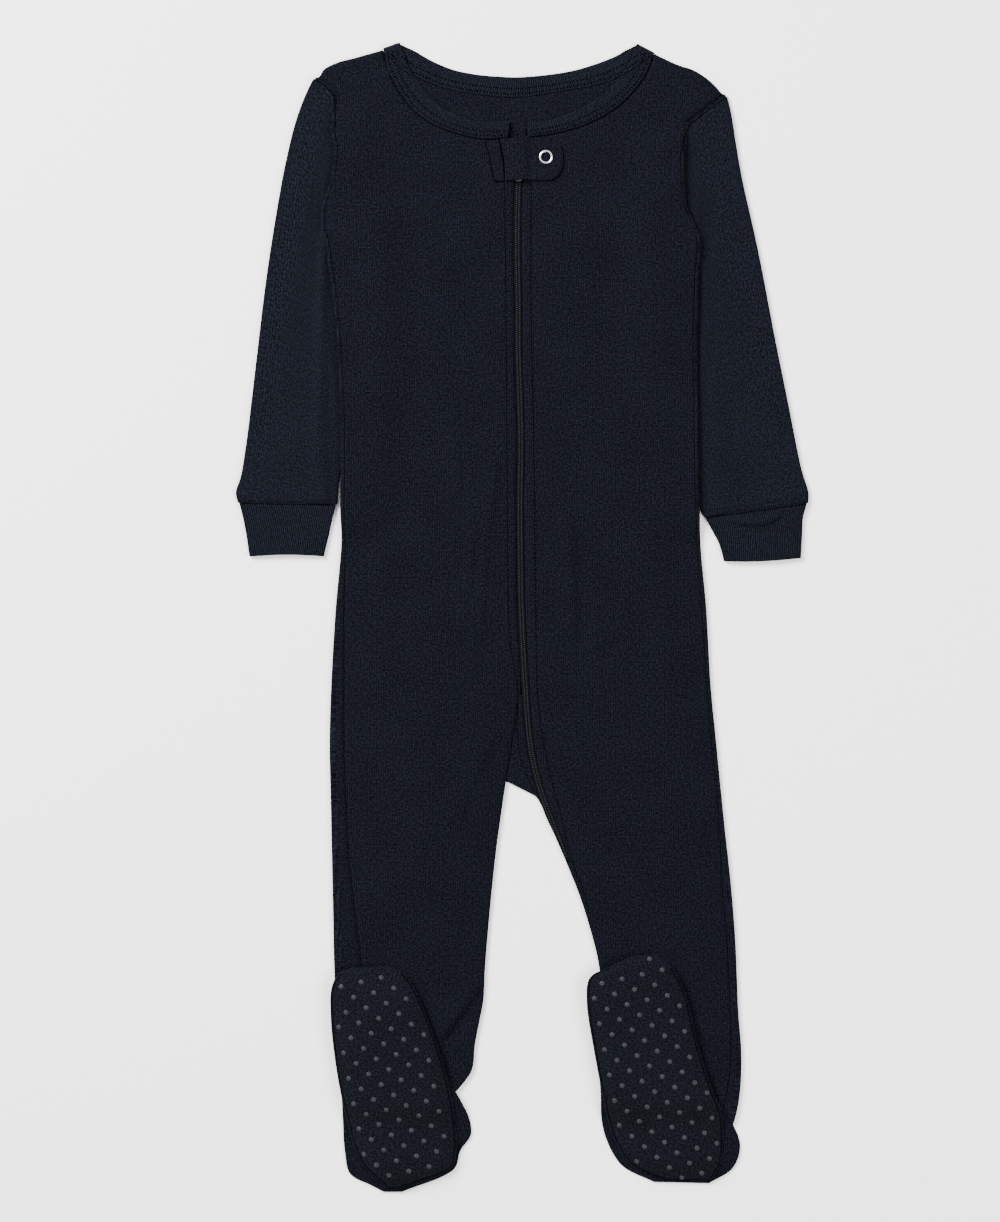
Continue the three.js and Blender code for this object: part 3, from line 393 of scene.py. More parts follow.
def tuck(inward, y, lift, ramp):
    start, full = lift
    across = 1 - smooth((inward - 1) / ramp)
    return across * smooth((start - y) / (start - full)) * smooth((y - LIFT_END) / LIFT_FADE)


def lifted(x, y, ramp):
    """Share of the sleeves' height by which they lift the body."""
    left = tuck(x - at(LEFT_TUCK, y), y, LEFT_LIFT, ramp)
    right = tuck(at(RIGHT_TUCK, y) - x, y, RIGHT_LIFT, ramp)
    return np.maximum(left, right)


def back_under(x, y):
    return SLEEVE_LIFT * lifted(x, y, BACK_RAMP)


def puff(x, y):
    """How far the front stands off the back, with its soft folds."""
    from_side = np.minimum(x - at(LEFT_SIDE, y, 2), at(RIGHT_SIDE, y, 2) - x)
    from_inner = np.maximum(at(INNER_LEFT, y) - x, x - at(INNER_RIGHT, y))
    inner = np.maximum(smooth((y + 92) / 34), smooth((from_inner - 1) / 18))
    high = smooth((PUFF_TOP - y) / 40) * smooth((y - PUFF_END) / 30)
    open_front = smooth((from_side - 1) / PUFF_RAMP) * inner * high
    above = smooth((y - PUFF_TOP) / 18) * smooth((SHOULDER_TOP - y) / 12)
    shoulder = smooth((from_side - 1) / 20) * above
    from_zip = np.abs(x - at(ZIP_LINE, y))
    ridges = sum(ridge(x, y, *f) for f in FOLDS)
    return (BELLY + ridges * smooth((from_zip - 6) / 12)) * open_front + (
        ridges * shoulder * np.where(x > 30, 0.8, 0)
    )


def front_under(x, y):
    share = lifted(x, y, FRONT_RAMP)
    room = 4 * RAMP_ROOM * share * (1 - share)
    return SLEEVE_LIFT * share + LAYER + puff(x, y) + room


def front_top(x, y):
    return front_under(x, y) + WALL


def creased(x, y):
    """Fine creases and a faint unevenness of the front, faded out at its edges."""
    from_side = np.minimum(x - at(LEFT_SIDE, y, 2), at(RIGHT_SIDE, y, 2) - x)
    from_zip = np.abs(x - at(ZIP_LINE, y))
    keep = smooth(from_side / 6) * np.where(y > -140, smooth((from_zip - 8.6) / 6), 1)
    wander = 0.16 * np.sin(x / 9.1 + 1.3 * np.sin(y / 23)) * np.sin(y / 14.3 + x / 31)
    wander += 0.1 * np.sin(x / 5.3 - y / 17 + 2) * np.sin(y / 8.7)
    laps = sum(ridge(x, y, *p, ends=5, step=LAP_STEP) for p in LAPS)
    return keep * (sum(ridge(x, y, *c) for c in CREASES) + laps + wander)


def heel_corner(x, y):
    corner = HEEL_CORNER
    across = np.clip((x - corner["from"]) / (corner["to"] - corner["from"]), 0, 1)
    down = np.clip((corner["top"] - y) / (corner["top"] - LEG_END), 0, 1)
    return x - corner["inward"] * across * down**3, y - corner["drop"] * across * down


# Meshes


def shell(name, inner, outer, weave, material, cells=None, ring=False):
    """A closed thin shell between two grids of points, with the weave's own coordinates as UV."""
    rows, columns = inner.shape[:2]
    index = np.arange(rows * columns).reshape(rows, columns)
    if ring:
        index = np.hstack([index, index[:, :1]])
    there = np.ones((rows - 1, index.shape[1] - 1), bool) if cells is None else cells
    a, b, c, d = index[:-1, :-1], index[1:, :-1], index[1:, 1:], index[:-1, 1:]
    n = rows * columns
    quads = [
        np.stack([a, b, c, d], -1)[there] + n,
        np.stack([a, d, c, b], -1)[there],
    ]
    padded = np.pad(there, 1)
    if ring:
        padded[1:-1, 0], padded[1:-1, -1] = there[:, -1], there[:, 0]
    sides = [
        (padded[:-2, 1:-1], a, d, True), (padded[2:, 1:-1], b, c, False),
        (padded[1:-1, :-2], a, b, False), (padded[1:-1, 2:], d, c, True),
    ]
    for beyond, p, q, turned in sides:
        rim = there & ~beyond
        low, high = (p, q) if turned else (q, p)
        quads.append(np.stack([low[rim], low[rim] + n, high[rim] + n, high[rim]], -1))
    faces = np.vstack(quads)
    points = np.vstack([inner.reshape(-1, 3), outer.reshape(-1, 3)])
    corner = points[faces]
    spread = np.cross(corner[:, 1] - corner[:, 0], corner[:, 2] - corner[:, 0])
    spread += np.cross(corner[:, 2] - corner[:, 0], corner[:, 3] - corner[:, 0])
    if (corner[:, 0] * spread).sum() < 0:
        faces = faces[:, ::-1]
    piece = mesh_piece(name, points, faces, material)
    mesh = piece.data
    uv = mesh.uv_layers.new(name="weave")
    both = np.vstack([weave.reshape(-1, 2)] * 2)
    loops = np.empty(len(mesh.loops), np.int32)
    mesh.loops.foreach_get("vertex_index", loops)
    uv.data.foreach_set("uv", both[loops].ravel())
    return piece


def mesh_piece(name, points, faces, material):
    """A smooth-shaded piece from points in millimetres and their faces."""
    mesh = bpy.data.meshes.new(name)
    mesh.from_pydata((points * MM).tolist(), [], np.asarray(faces).tolist())
    mesh.validate()
    mesh.polygons.foreach_set("use_smooth", [True] * len(mesh.polygons))
    mesh.materials.append(material)
    piece = bpy.data.objects.new(name, mesh)
    bpy.context.scene.collection.objects.link(piece)
    return piece


def rim_height(shares_down, shares_across, low=0.35):
    """Thickness share over a grid, thin at its outermost points so that edges look rounded."""
    down, across = np.ones(len(shares_down)), np.ones(len(shares_across))
    down[[0, -1]] = low
    across[[0, -1]] = low
    return np.minimum.outer(down, across)


def sheet(name, plan, under, extra, edges, material):
    """A shell over a plan grid, on the height under, with the relief extra on top."""
    x, y = plan[..., 0], plan[..., 1]
    low = under(x, y)
    lift = np.maximum(extra(x, y), -0.2)
    base = low + np.maximum(lift, 0) * edges
    inner = np.dstack([x, y, base + (1 - edges) * WALL * 0.2])
    outer = np.dstack([x, y, base + WALL * edges + np.minimum(lift, 0) * edges])
    return shell(name, inner, outer, plan, material)


def many(name, shape_points, shape_faces, places, material):
    """One mesh of many copies of a small shape, each with its own centre and three axes."""
    shape_points = np.asarray(shape_points, float)
    shape_faces = np.asarray(shape_faces)
    points, faces = [], []
    for k, (centre, axes) in enumerate(places):
        points.append(np.asarray(centre) + shape_points @ np.asarray(axes))
        faces.append(shape_faces + k * len(shape_points))
    return mesh_piece(name, np.vstack(points), np.vstack(faces), material)


def bead(round_count, rings, half=False):
    """A small rounded form of radius 1, as points and four-sided faces; half is a dome."""
    top = math.pi / 2 if half else math.pi
    points, faces = [], []
    first = 0.16
    last_angle = top if half else top - first
    for r in range(rings + 1):
        a = first + (last_angle - first) * r / rings
        for k in range(round_count):
            b = 2 * math.pi * k / round_count
            points.append((math.sin(a) * math.cos(b), math.sin(a) * math.sin(b), math.cos(a)))
    for r in range(rings):
        for k in range(round_count):
            n = (k + 1) % round_count
            low, high = (r + 1) * round_count, r * round_count
            faces.append((high + k, low + k, low + n, high + n))
    half_round = round_count // 2
    for k in range(half_round - 1):
        a, b = k, round_count - 1 - k
        faces.append((a, a + 1, b - 1, b))
        last = rings * round_count
        faces.append((last + b, last + b - 1, last + a + 1, last + a))
    return points, faces


class Surface:
    """What is sewn or printed on the cloth finds its height by dropping on to these pieces."""

    def __init__(self, *pieces):
        points, faces = [], []
        for piece in pieces:
            start = len(points)
            points += [v.co.copy() for v in piece.data.vertices]
            faces += [[start + i for i in p.vertices] for p in piece.data.polygons]
        self.tree = BVHTree.FromPolygons(points, faces)

    def drop(self, x, y):
        hit, normal, _, _ = self.tree.ray_cast(Vector((x * MM, y * MM, 0.1)), Vector((0, 0, -1)))
        if hit is None:
            return None
        return hit.z / MM, np.array(normal) * (1 if normal.z > 0 else -1)


def stitches(name, surface, paths, material, long=1.5, wide=0.42, high=0.2, step=STITCH):
    """A row of small thread stitches along each path, lying on the surface."""
    points, faces = bead(8, 4)
    places = []
    for path in paths:
        path = np.asarray(path, float)
        total = np.linalg.norm(np.diff(path, axis=0), axis=1).sum()
        spots = along(path, np.arange(step / 2, total, step) / total)
        ahead = np.gradient(spots, axis=0)
        ahead /= np.linalg.norm(ahead, axis=1)[:, None]
        for (x, y), (dx, dy) in zip(spots, ahead):
            found = surface.drop(x, y)
            if found is None:
                continue
            z, up = found
            forward = np.array([dx, dy, 0.0])
            forward -= up * forward.dot(up)
            side = np.cross(up, forward)
            axes = [forward * long / 2, side * wide / 2, up * high]
            places.append(((x, y, z), axes))
    return many(name, points, faces, places, material)


# Materials


def nodes_of(name):
    material = bpy.data.materials.new(name)
    material.use_nodes = True
    tree = material.node_tree
    return material, tree, tree.nodes["Principled BSDF"]


def math_node(tree, operation, a, b=None):
    node = tree.nodes.new("ShaderNodeMath")
    node.operation = operation
    for socket, value in zip(node.inputs, (a, b)):
        if value is None:
            continue
        if isinstance(value, (int, float)):
            socket.default_value = value
        else:
            tree.links.new(value, socket)
    return node.outputs[0]


def noise(tree, vector, scale, detail=2.0):
    node = tree.nodes.new("ShaderNodeTexNoise")
    node.inputs["Scale"].default_value = scale
    node.inputs["Detail"].default_value = detail
    tree.links.new(vector, node.inputs["Vector"])
    return node.outputs["Fac"]


def tone_ramp(tree, shader, value, stops, dark, light):
    """The base colour between two tones, from the lower stop of a value to the upper."""
    ramp = tree.nodes.new("ShaderNodeValToRGB")
    for element, stop, tone in zip(ramp.color_ramp.elements, stops, (dark, light)):
        element.position = stop
        element.color = (*tone, 1)
    tree.links.new(value, ramp.inputs[0])
    tree.links.new(ramp.outputs[0], shader.inputs["Base Color"])


def relief_bump(tree, shader, value, strength, depth):
    bump = tree.nodes.new("ShaderNodeBump")
    bump.inputs["Strength"].default_value = strength
    bump.inputs["Distance"].default_value = depth
    tree.links.new(value, bump.inputs["Height"])
    tree.links.new(bump.outputs[0], shader.inputs["Normal"])


COURSE = 1.05
KNIT_DEPTH, GRAIN_DEPTH = 0.00035, 0.0001


def knit(name, dark, light, pitch=RIB, strength=0.75, wales=0.2):
    """Rib knit: fine wales along the weave's second coordinate, with courses, mottled yarn and painted
    shade in the grooves.
    """
    material, tree, shader = nodes_of(name)

    def times(value, share):
        return math_node(tree, "MULTIPLY", value, share)

    def plus(first, second):
        return math_node(tree, "ADD", first, second)

    uv = tree.nodes.new("ShaderNodeUVMap")
    uv.uv_map = "weave"
    split = tree.nodes.new("ShaderNodeSeparateXYZ")
    tree.links.new(uv.outputs[0], split.inputs[0])
    across, down = split.outputs[0], split.outputs[1]
    wander = times(noise(tree, uv.outputs[0], 0.08), 1.6)
    wale = math_node(tree, "SINE", times(plus(across, wander), 2 * math.pi / pitch))
    half_turn = times(math_node(tree, "SIGN", wale), 1.2)
    course = math_node(tree, "SINE", plus(times(down, 2 * math.pi / COURSE), half_turn))
    fuzz = noise(tree, uv.outputs[0], 1.3, 3.0)
    yarn = noise(tree, uv.outputs[0], 0.85, 3.0)
    worn = noise(tree, uv.outputs[0], 0.035)
    relief = plus(plus(times(wale, wales), times(course, 0.16)), times(fuzz, 0.9))
    relief_bump(tree, shader, relief, strength, KNIT_DEPTH)
    mottled = math_node(tree, "SUBTRACT", yarn, 0.5)
    faded = math_node(tree, "SUBTRACT", worn, 0.5)
    # The base colour follows the knit's relief, darker in its grooves: painted shade; the yarn and worn
    # terms are random tone
    tone = plus(plus(times(relief, 0.55), times(mottled, 1.6)), times(faded, 0.14))
    tone_ramp(tree, shader, tone, (0.05, 0.75), dark, light)
    shader.inputs["Roughness"].default_value = 0.93
    shader.inputs["Specular IOR Level"].default_value = 0.035
    shader.inputs["Sheen Weight"].default_value = 0.015
    shader.inputs["Sheen Roughness"].default_value = 0.55
    shader.inputs["Sheen Tint"].default_value = (0.55, 0.62, 0.85, 1)
    return material


def plain(name, dark, light, rough, metal=0.0, scale=900.0, specular=0.5):
    """Thread, moulded or metal finish with a faintly uneven tone and surface."""
    material, tree, shader = nodes_of(name)
    coordinates = tree.nodes.new("ShaderNodeTexCoord")
    grain = noise(tree, coordinates.outputs["Object"], scale, 3.0)
    tone_ramp(tree, shader, grain, (0.3, 0.7), dark, light)
    relief_bump(tree, shader, grain, 0.3, GRAIN_DEPTH)
    shader.inputs["Roughness"].default_value = rough
    shader.inputs["Metallic"].default_value = metal
    shader.inputs["Specular IOR Level"].default_value = specular
    return material


body_knit = knit("body_knit", (0.0004, 0.0004, 0.0012), (0.0069, 0.0080, 0.0134))
# The sleeves' knit is the body's knit made lighter: painted light on the sleeves
sleeve_knit_painted_lighter = knit("sleeve_knit_painted_lighter", (0.0007, 0.0008, 0.0018), (0.0083, 0.0097, 0.0155))
rib_knit = knit("rib_knit", (0.0006, 0.0007, 0.0016), (0.0080, 0.0094, 0.0150), strength=0.5,
                wales=0.5)
sole_knit = knit("sole_knit", (0.0005, 0.0006, 0.0012), (0.0080, 0.0092, 0.0138), pitch=1.1)
thread = plain("thread", (0.0012, 0.0014, 0.003), (0.0032, 0.0038, 0.0068), 0.85, specular=0.06)
# Dark thread: real stitches at the zip and the neckband; in the seam lines it is painted shade in the
# seams' ditches
dark_thread_and_seam_shade = plain("dark_thread_and_seam_shade", (0.0002, 0.0002, 0.0006), (0.0008, 0.0009, 0.002), 0.9,
                    specular=0.02)
tape_cloth = plain("zip_tape", (0.0008, 0.001, 0.0016), (0.002, 0.0025, 0.004), 0.9, specular=0.05)
coil_plastic = plain("coil_plastic", (0.009, 0.0105, 0.012), (0.019, 0.021, 0.024), 0.5, scale=400,
                     specular=0.2)
slider_paint = plain("slider_paint", (0.02, 0.022, 0.025), (0.034, 0.036, 0.04), 0.5, specular=0.25)
bright_metal = plain("bright_metal", (0.78, 0.8, 0.83), (0.9, 0.91, 0.93), 0.3, metal=1.0)
grip = plain("grip_rubber", (0.010, 0.011, 0.014), (0.019, 0.021, 0.025), 0.6, scale=500,
             specular=0.12)


def place(piece, slot, *nodes):
    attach(piece, "root")
    if nodes:
        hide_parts(*nodes)
    return piece


# Back: body and both legs, turned over at the outer edges to the side seams

BODY_ROWS, LEG_ROWS = 190, 84
LEG_COLUMNS, CROTCH_COLUMNS, SHOULDER_COLUMNS = 40, 6, 16
body_shares = even(BODY_ROWS) * 0.6 + even(BODY_ROWS) ** 2 * 0.4


def side_heights(top):
    return top + (CROTCH_Y - top) * body_shares


leg_heights = CROTCH_Y + (LEG_END - CROTCH_Y) * even(LEG_ROWS)[1:]


def columns_xy(x, y):
    return np.stack([x, y], axis=1)


def make_back():
    neck_columns = 2 * LEG_COLUMNS + CROTCH_COLUMNS - 2 * SHOULDER_COLUMNS
    seam = [(x, y + NECK_GAP) for x, y, _, _ in BACK_NECK]
    seam[0], seam[-1] = LEFT_SHOULDER[-1], RIGHT_SHOULDER[-1]
    left_top = [(x + FOLD, y) for x, y in LEFT_SHOULDER[:-1]] + [LEFT_SHOULDER[-1]]
    right_top = [(x - FOLD, y) for x, y in RIGHT_SHOULDER[:-1]] + [RIGHT_SHOULDER[-1]]
    top = np.vstack([
        along(left_top, even(SHOULDER_COLUMNS)),
        along(seam, even(neck_columns))[1:-1],
        along(right_top, even(SHOULDER_COLUMNS))[::-1],
    ])

    def left_x(y):
        return at(LEFT_SIDE, y) + FOLD

    def right_x(y):
        return at(RIGHT_SIDE, y) - FOLD

    heights = side_heights(LEFT_SIDE[0][0])
    left = columns_xy(left_x(heights), heights)
    heights = side_heights(RIGHT_SIDE[0][0])
    right = columns_xy(right_x(heights), heights)
    bottom = np.vstack([
        straight(left[-1], CROTCH[0], even(LEG_COLUMNS)),
        along(CROTCH, even(CROTCH_COLUMNS))[1:-1],
        straight(CROTCH[-1], right[-1], even(LEG_COLUMNS)),
    ])
    body = fill(left, right, top, bottom, even(len(top) - 1))
    legs = []
    inner_heights = INNER_TOP + (LEG_END - INNER_TOP) * even(LEG_ROWS)[1:]
    for y, inner_y in zip(leg_heights, inner_heights):
        first = straight((left_x(y), y), (at(INNER_LEFT, y), y), even(LEG_COLUMNS))
        last = straight((at(INNER_RIGHT, inner_y), inner_y), (right_x(y), y), even(LEG_COLUMNS))
        between = straight(first[-1], last[0], even(CROTCH_COLUMNS))[1:-1]
        legs.append(np.vstack([first, between, last]))
    plan = np.concatenate([body, np.array(legs)])
    bends = np.radians(np.linspace(25, 180, 7))
    strip = np.array([0.3, 0.7, 1.0])

    def turned(side, edge, sign):
        """Points, outward steps and weave place of the turn from an edge to its side seam."""
        x, y = edge[:, 0], edge[:, 1]
        width = np.maximum(sign * (at(side, y, 2) - at(side, y)) - FOLD + 0.25, 0.5)
        parts = [
            np.stack([x - sign * math.sin(a) * LAYER / 2, y,
                      np.full_like(x, WALL / 2 + (1 - math.cos(a)) * LAYER / 2),
                      np.full_like(x, sign * math.sin(a)), np.full_like(x, math.cos(a)),
                      -np.sin(a) * LAYER / 2 + 0 * x], axis=1)
            for a in bends
        ]
        parts += [
            np.stack([x + sign * width * s, y, np.full_like(x, WALL / 2 + LAYER), 0 * x,
                      np.full_like(x, -1.0), width * s], axis=1)
            for s in strip
        ]
        return np.stack(parts, axis=1)

    flat = np.concatenate([plan, np.zeros(plan.shape[:2] + (4,))], axis=2)
    flat[..., 2], flat[..., 4] = WALL / 2, 1.0
    first = turned(LEFT_SIDE, plan[:, 0], 1)[:, ::-1]
    last = turned(RIGHT_SIDE, plan[:, -1], -1)
    path = np.concatenate([first, flat, last], axis=1)
    x, y = heel_corner(path[..., 0], path[..., 1])
    z = path[..., 2]
    under = back_under(x, y)
    is_flat = np.zeros(path.shape[1], bool)
    is_flat[first.shape[1]:-last.shape[1]] = True
    dents = sum(ridge(x, y, *c) for c in BACK_CREASES) * is_flat * smooth(2 - under)
    half = WALL / 2 * np.ones(path.shape[1])
    half[[0, -1]] = 0.35
    grids = []
    for sign in (1, -1):
        grid = np.dstack([x + sign * path[..., 3] * half, y, z + sign * path[..., 4] * half + under])
        if sign < 0:
            grid[..., 2] += dents * (path[..., 4] > 0.9)
        grids.append(grid)
    cells = np.ones((len(path) - 1, path.shape[1] - 1), bool)
    gap = first.shape[1] + LEG_COLUMNS
    cells[BODY_ROWS:, gap:gap + CROTCH_COLUMNS] = False
    weave = np.dstack([x + np.sign(path[..., 3]) * 2, y])
    return shell("back", grids[1], grids[0], weave, body_knit, cells)


back = place(make_back(), "knit", "back_panel")


# Fronts, from the side seam to the zip and below it to the crotch and inner leg


def right_front_edge(y):
    zip_edge = at(ZIP_LINE, y) - ZIP_HALF - SIDE_GAP
    low = np.where(y > CROTCH_Y, at(CROTCH_LINE, y), at(INNER_LEFT, y))
    return low + (zip_edge - low) * smooth((y + 56) / 16)


def left_front_edge(y):
    zip_edge = at(ZIP_LINE, y) + ZIP_HALF + SIDE_GAP
    low = at(INNER_RIGHT, y)
    return low + (zip_edge - low) * smooth((y + 158) / 22)


def front_relief(x, y):
    """Creases, and beside the zip the folded edge with the stitched channel along it."""
    from_zip = np.abs(x - at(ZIP_LINE, y))
    right, left = x - at(RIGHT_TOPSTITCH, y), x - at(LEFT_TOPSTITCH, y)
    high = smooth((262 - y) / 6)
    wide = CHANNEL["width"]
    channel = np.exp(-((right / wide) ** 2)) * smooth((y + 176) / 8) * (x > at(ZIP_LINE, y))
    channel += np.exp(-((left / wide) ** 2)) * smooth((y + 104) / 6) * (x < at(ZIP_LINE, y) - 1)
    pad = np.exp(-(((from_zip - ZIP_PAD["from zip"]) / ZIP_PAD["width"]) ** 2))
    pad = pad * smooth((y + 150) / 20)
    away = (np.hypot(x - a, y - b) / TUCK_SPOT["radius"] for a, b in SEAM_TUCKS)
    spots = sum(np.exp(-(d**2)) for d in away)
    edges = ZIP_PAD["height"] * pad - CHANNEL["depth"] * channel
    return creased(x, y) + edges * high - TUCK_SPOT["depth"] * spots


def make_front(name, side, sign, shoulder, neck, edge):
    shoulder_count, neck_count = 18, 52
    seam = [(x - sign * 0.3, y - NECK_GAP) for x, y, _, _ in neck]
    seam[0] = shoulder[-1]
    seam[-1] = (float(edge(np.array(neck[-1][1]))), neck[-1][1] - NECK_GAP)
    top_y = shoulder[0][1]

    def outer_x(y):
        return at(side, y, 2) + sign * SIDE_GAP

    first = (float(outer_x(np.array(top_y))), top_y)
    top = np.vstack([
        along([first, *shoulder[1:]], even(shoulder_count)),
        along(seam, np.append(even(neck_count)[1:-1], [1 - 0.3 / neck_count, 1])),
    ])
    heights = np.concatenate([side_heights(top_y), leg_heights])
    outside = columns_xy(outer_x(heights), heights)
    heights = np.concatenate([side_heights(seam[-1][1]), leg_heights])
    inside = columns_xy(edge(heights), heights)
    u = even(len(top) - 1)
    bottom = straight(outside[-1], inside[-1], u)
    plan = fill(outside, inside, top, bottom, u)
    plan = np.dstack(heel_corner(plan[..., 0], plan[..., 1]))
    thin = np.ones(plan.shape[:2])
    thin[0] = 0.4
    thin[:, [0, -1]] = 0.4
    thin[1:, [1, -2]] = 0.85
    return sheet(name, plan, front_under, front_relief, thin, body_knit)


front_right = place(
    make_front("front_of_right_side", LEFT_SIDE, 1, LEFT_SHOULDER, LEFT_NECK, right_front_edge),
    "knit", "front_right")
front_left = place(
    make_front("front_of_left_side", RIGHT_SIDE, -1, RIGHT_SHOULDER, RIGHT_NECK, left_front_edge),
    "knit", "front_left")


def make_inseam_strip():
    rows, columns = rimmed(50), rimmed(12)
    high = STRIP_TOP + (STRIP_LEFT_END - STRIP_TOP) * rows
    low = high + (STRIP_RIGHT_END - STRIP_LEFT_END) * rows
    left = columns_xy(at(CROTCH_LINE, high) + 0.25, high)
    right = columns_xy(at(ZIP_LINE, low) - ZIP_HALF - SIDE_GAP, low)
    plan = fill(left, right, straight(left[0], right[0], columns),
                straight(left[-1], right[-1], columns), columns)

    def under(x, y):
        return front_under(x, y) - STRIP_DIP

    def relief(x, y):
        return 0.1 * np.sin(x / 2 + y / 5)

    return sheet("inner_leg_turn", plan, under, relief, rim_height(rows, columns), body_knit)


inseam = place(make_inseam_strip(), "knit", "inner_leg_strip")


# Zip: a dark tape with two rows of coil, the slider and its pull


def zip_frame(y):
    """The zip's middle at heights y and the unit steps along and across it."""
    middle = at(ZIP_LINE, y)
    slope = (at(ZIP_LINE, y + 1) - at(ZIP_LINE, y - 1)) / 2
    length = np.hypot(slope, 1)
    ahead = np.stack([-slope / length, -1 / length], 1)
    side = np.stack([1 / length, -slope / length], 1)
    return middle, ahead, side


def make_tape():
    y = np.linspace(ZIP_TOP, ZIP_END, 300)
    middle, _, side = zip_frame(y)
    across = np.array([-1, -0.9, -0.45, 0, 0.45, 0.9, 1]) * ZIP_HALF
    plan = np.stack([middle[:, None] + side[:, :1] * across, y[:, None] + side[:, 1:] * across], -1)
    edge = at(INNER_RIGHT, plan[..., 1]) + 0.2 + 0.15 * even(6)
    plan[..., 0] = np.where(plan[..., 1] < INNER_TOP, np.maximum(plan[..., 0], edge), plan[..., 0])
    edges = np.ones(plan.shape[:2]) * 0.6
    edges[:, [0, -1]] = 0.3
    return sheet("zip_tape", plan, front_under, lambda x, y: 0 * x, edges, tape_cloth)


place(make_tape(), "zip", "zip_coil")


def make_coil():
    """Two rows of coil elements, which end where the zip turns under the left inner leg."""
    points, faces = bead(8, 5)
    pitch, half, rise = 1.3, 0.84, 0.22
    y = np.arange(ZIP_TOP, ZIP_END + 3, -pitch)
    middle, ahead, side = zip_frame(y)
    places = []
    for row, shift in ((-1, 0.0), (1, pitch / 2)):
        centre = np.stack([middle, y], 1) + side * row * half + ahead * shift
        high = front_under(centre[:, 0], centre[:, 1]) + WALL * 0.6
        for (x, cy), z, a, s in zip(centre, high, ahead, side):
            if cy < INNER_TOP and x < at(INNER_RIGHT, cy) + 0.9:
                continue
            lean = np.append(s + a * 0.32 * row, 0)
            axes = [lean * 0.52, np.append(a, 0) * 0.3, np.array([0, 0, 0.45])]
            places.append(((x, cy, z + rise), axes))
    return many("zip_teeth", points, faces, places, coil_plastic)


place(make_coil(), "zip")


def rounded_block(name, x, y0, y1, wide, z0, high, material, hole=False):
    """A small plate with round corners; the hole makes it a pull with an eye."""
    sides = 40
    a = np.linspace(0, 2 * math.pi, sides, endpoint=False)
    roundness = 0.45

    def outline(half_w, half_l):
        c, s = np.cos(a), np.sin(a)
        return np.stack([np.sign(c) * np.abs(c) ** roundness * half_w,
                         np.sign(s) * np.abs(s) ** roundness * half_l], 1)

    half_w, half_l = wide / 2, (y1 - y0) / 2
    inside = 0.42 if hole else 0.02
    rings = [(inside, 0), (inside, 1), (0.93, 1), (1, 0.8), (1, 0.2), (0.93, 0)]
    points = []
    for scale, level in rings:
        ring = outline(half_w * scale, half_l * scale)
        points.append(np.column_stack([x + ring[:, 0], (y0 + y1) / 2 + ring[:, 1],
                                       np.full(sides, z0 + level * high)]))
    points = np.vstack(points)
    count = len(rings)
    faces = []
    for r in range(count):
        for k in range(sides):
            n = (k + 1) % sides
            s, t = r * sides, ((r + 1) % count) * sides
            faces.append((s + k, s + n, t + n, t + k))
    return mesh_piece(name, points, faces, material)


slider_base = float(front_under(np.array(SLIDER["x"]), np.array(float(SLIDER["bottom"]))))
pull_base = slider_base + SLIDER["high"] + GAP
place(rounded_block("slider", SLIDER["x"], SLIDER["bottom"], SLIDER["top"], SLIDER["wide"],
                    slider_base, SLIDER["high"], slider_paint), "metal", "zip_slider")
place(rounded_block("slider_pull", SLIDER["x"], PULL["bottom"], PULL["top"], PULL["wide"],
                    pull_base, PULL["high"], slider_paint, hole=True), "metal", "zip_pull")


# Sleeves and cuffs


def slid(row, steps):
    """The points of one row moved along their own curve."""
    run = np.concatenate([[0], np.cumsum(np.linalg.norm(np.diff(row, axis=0), axis=1))])
    return np.stack([np.interp(run + steps, run, row[:, k]) for k in range(2)], 1)


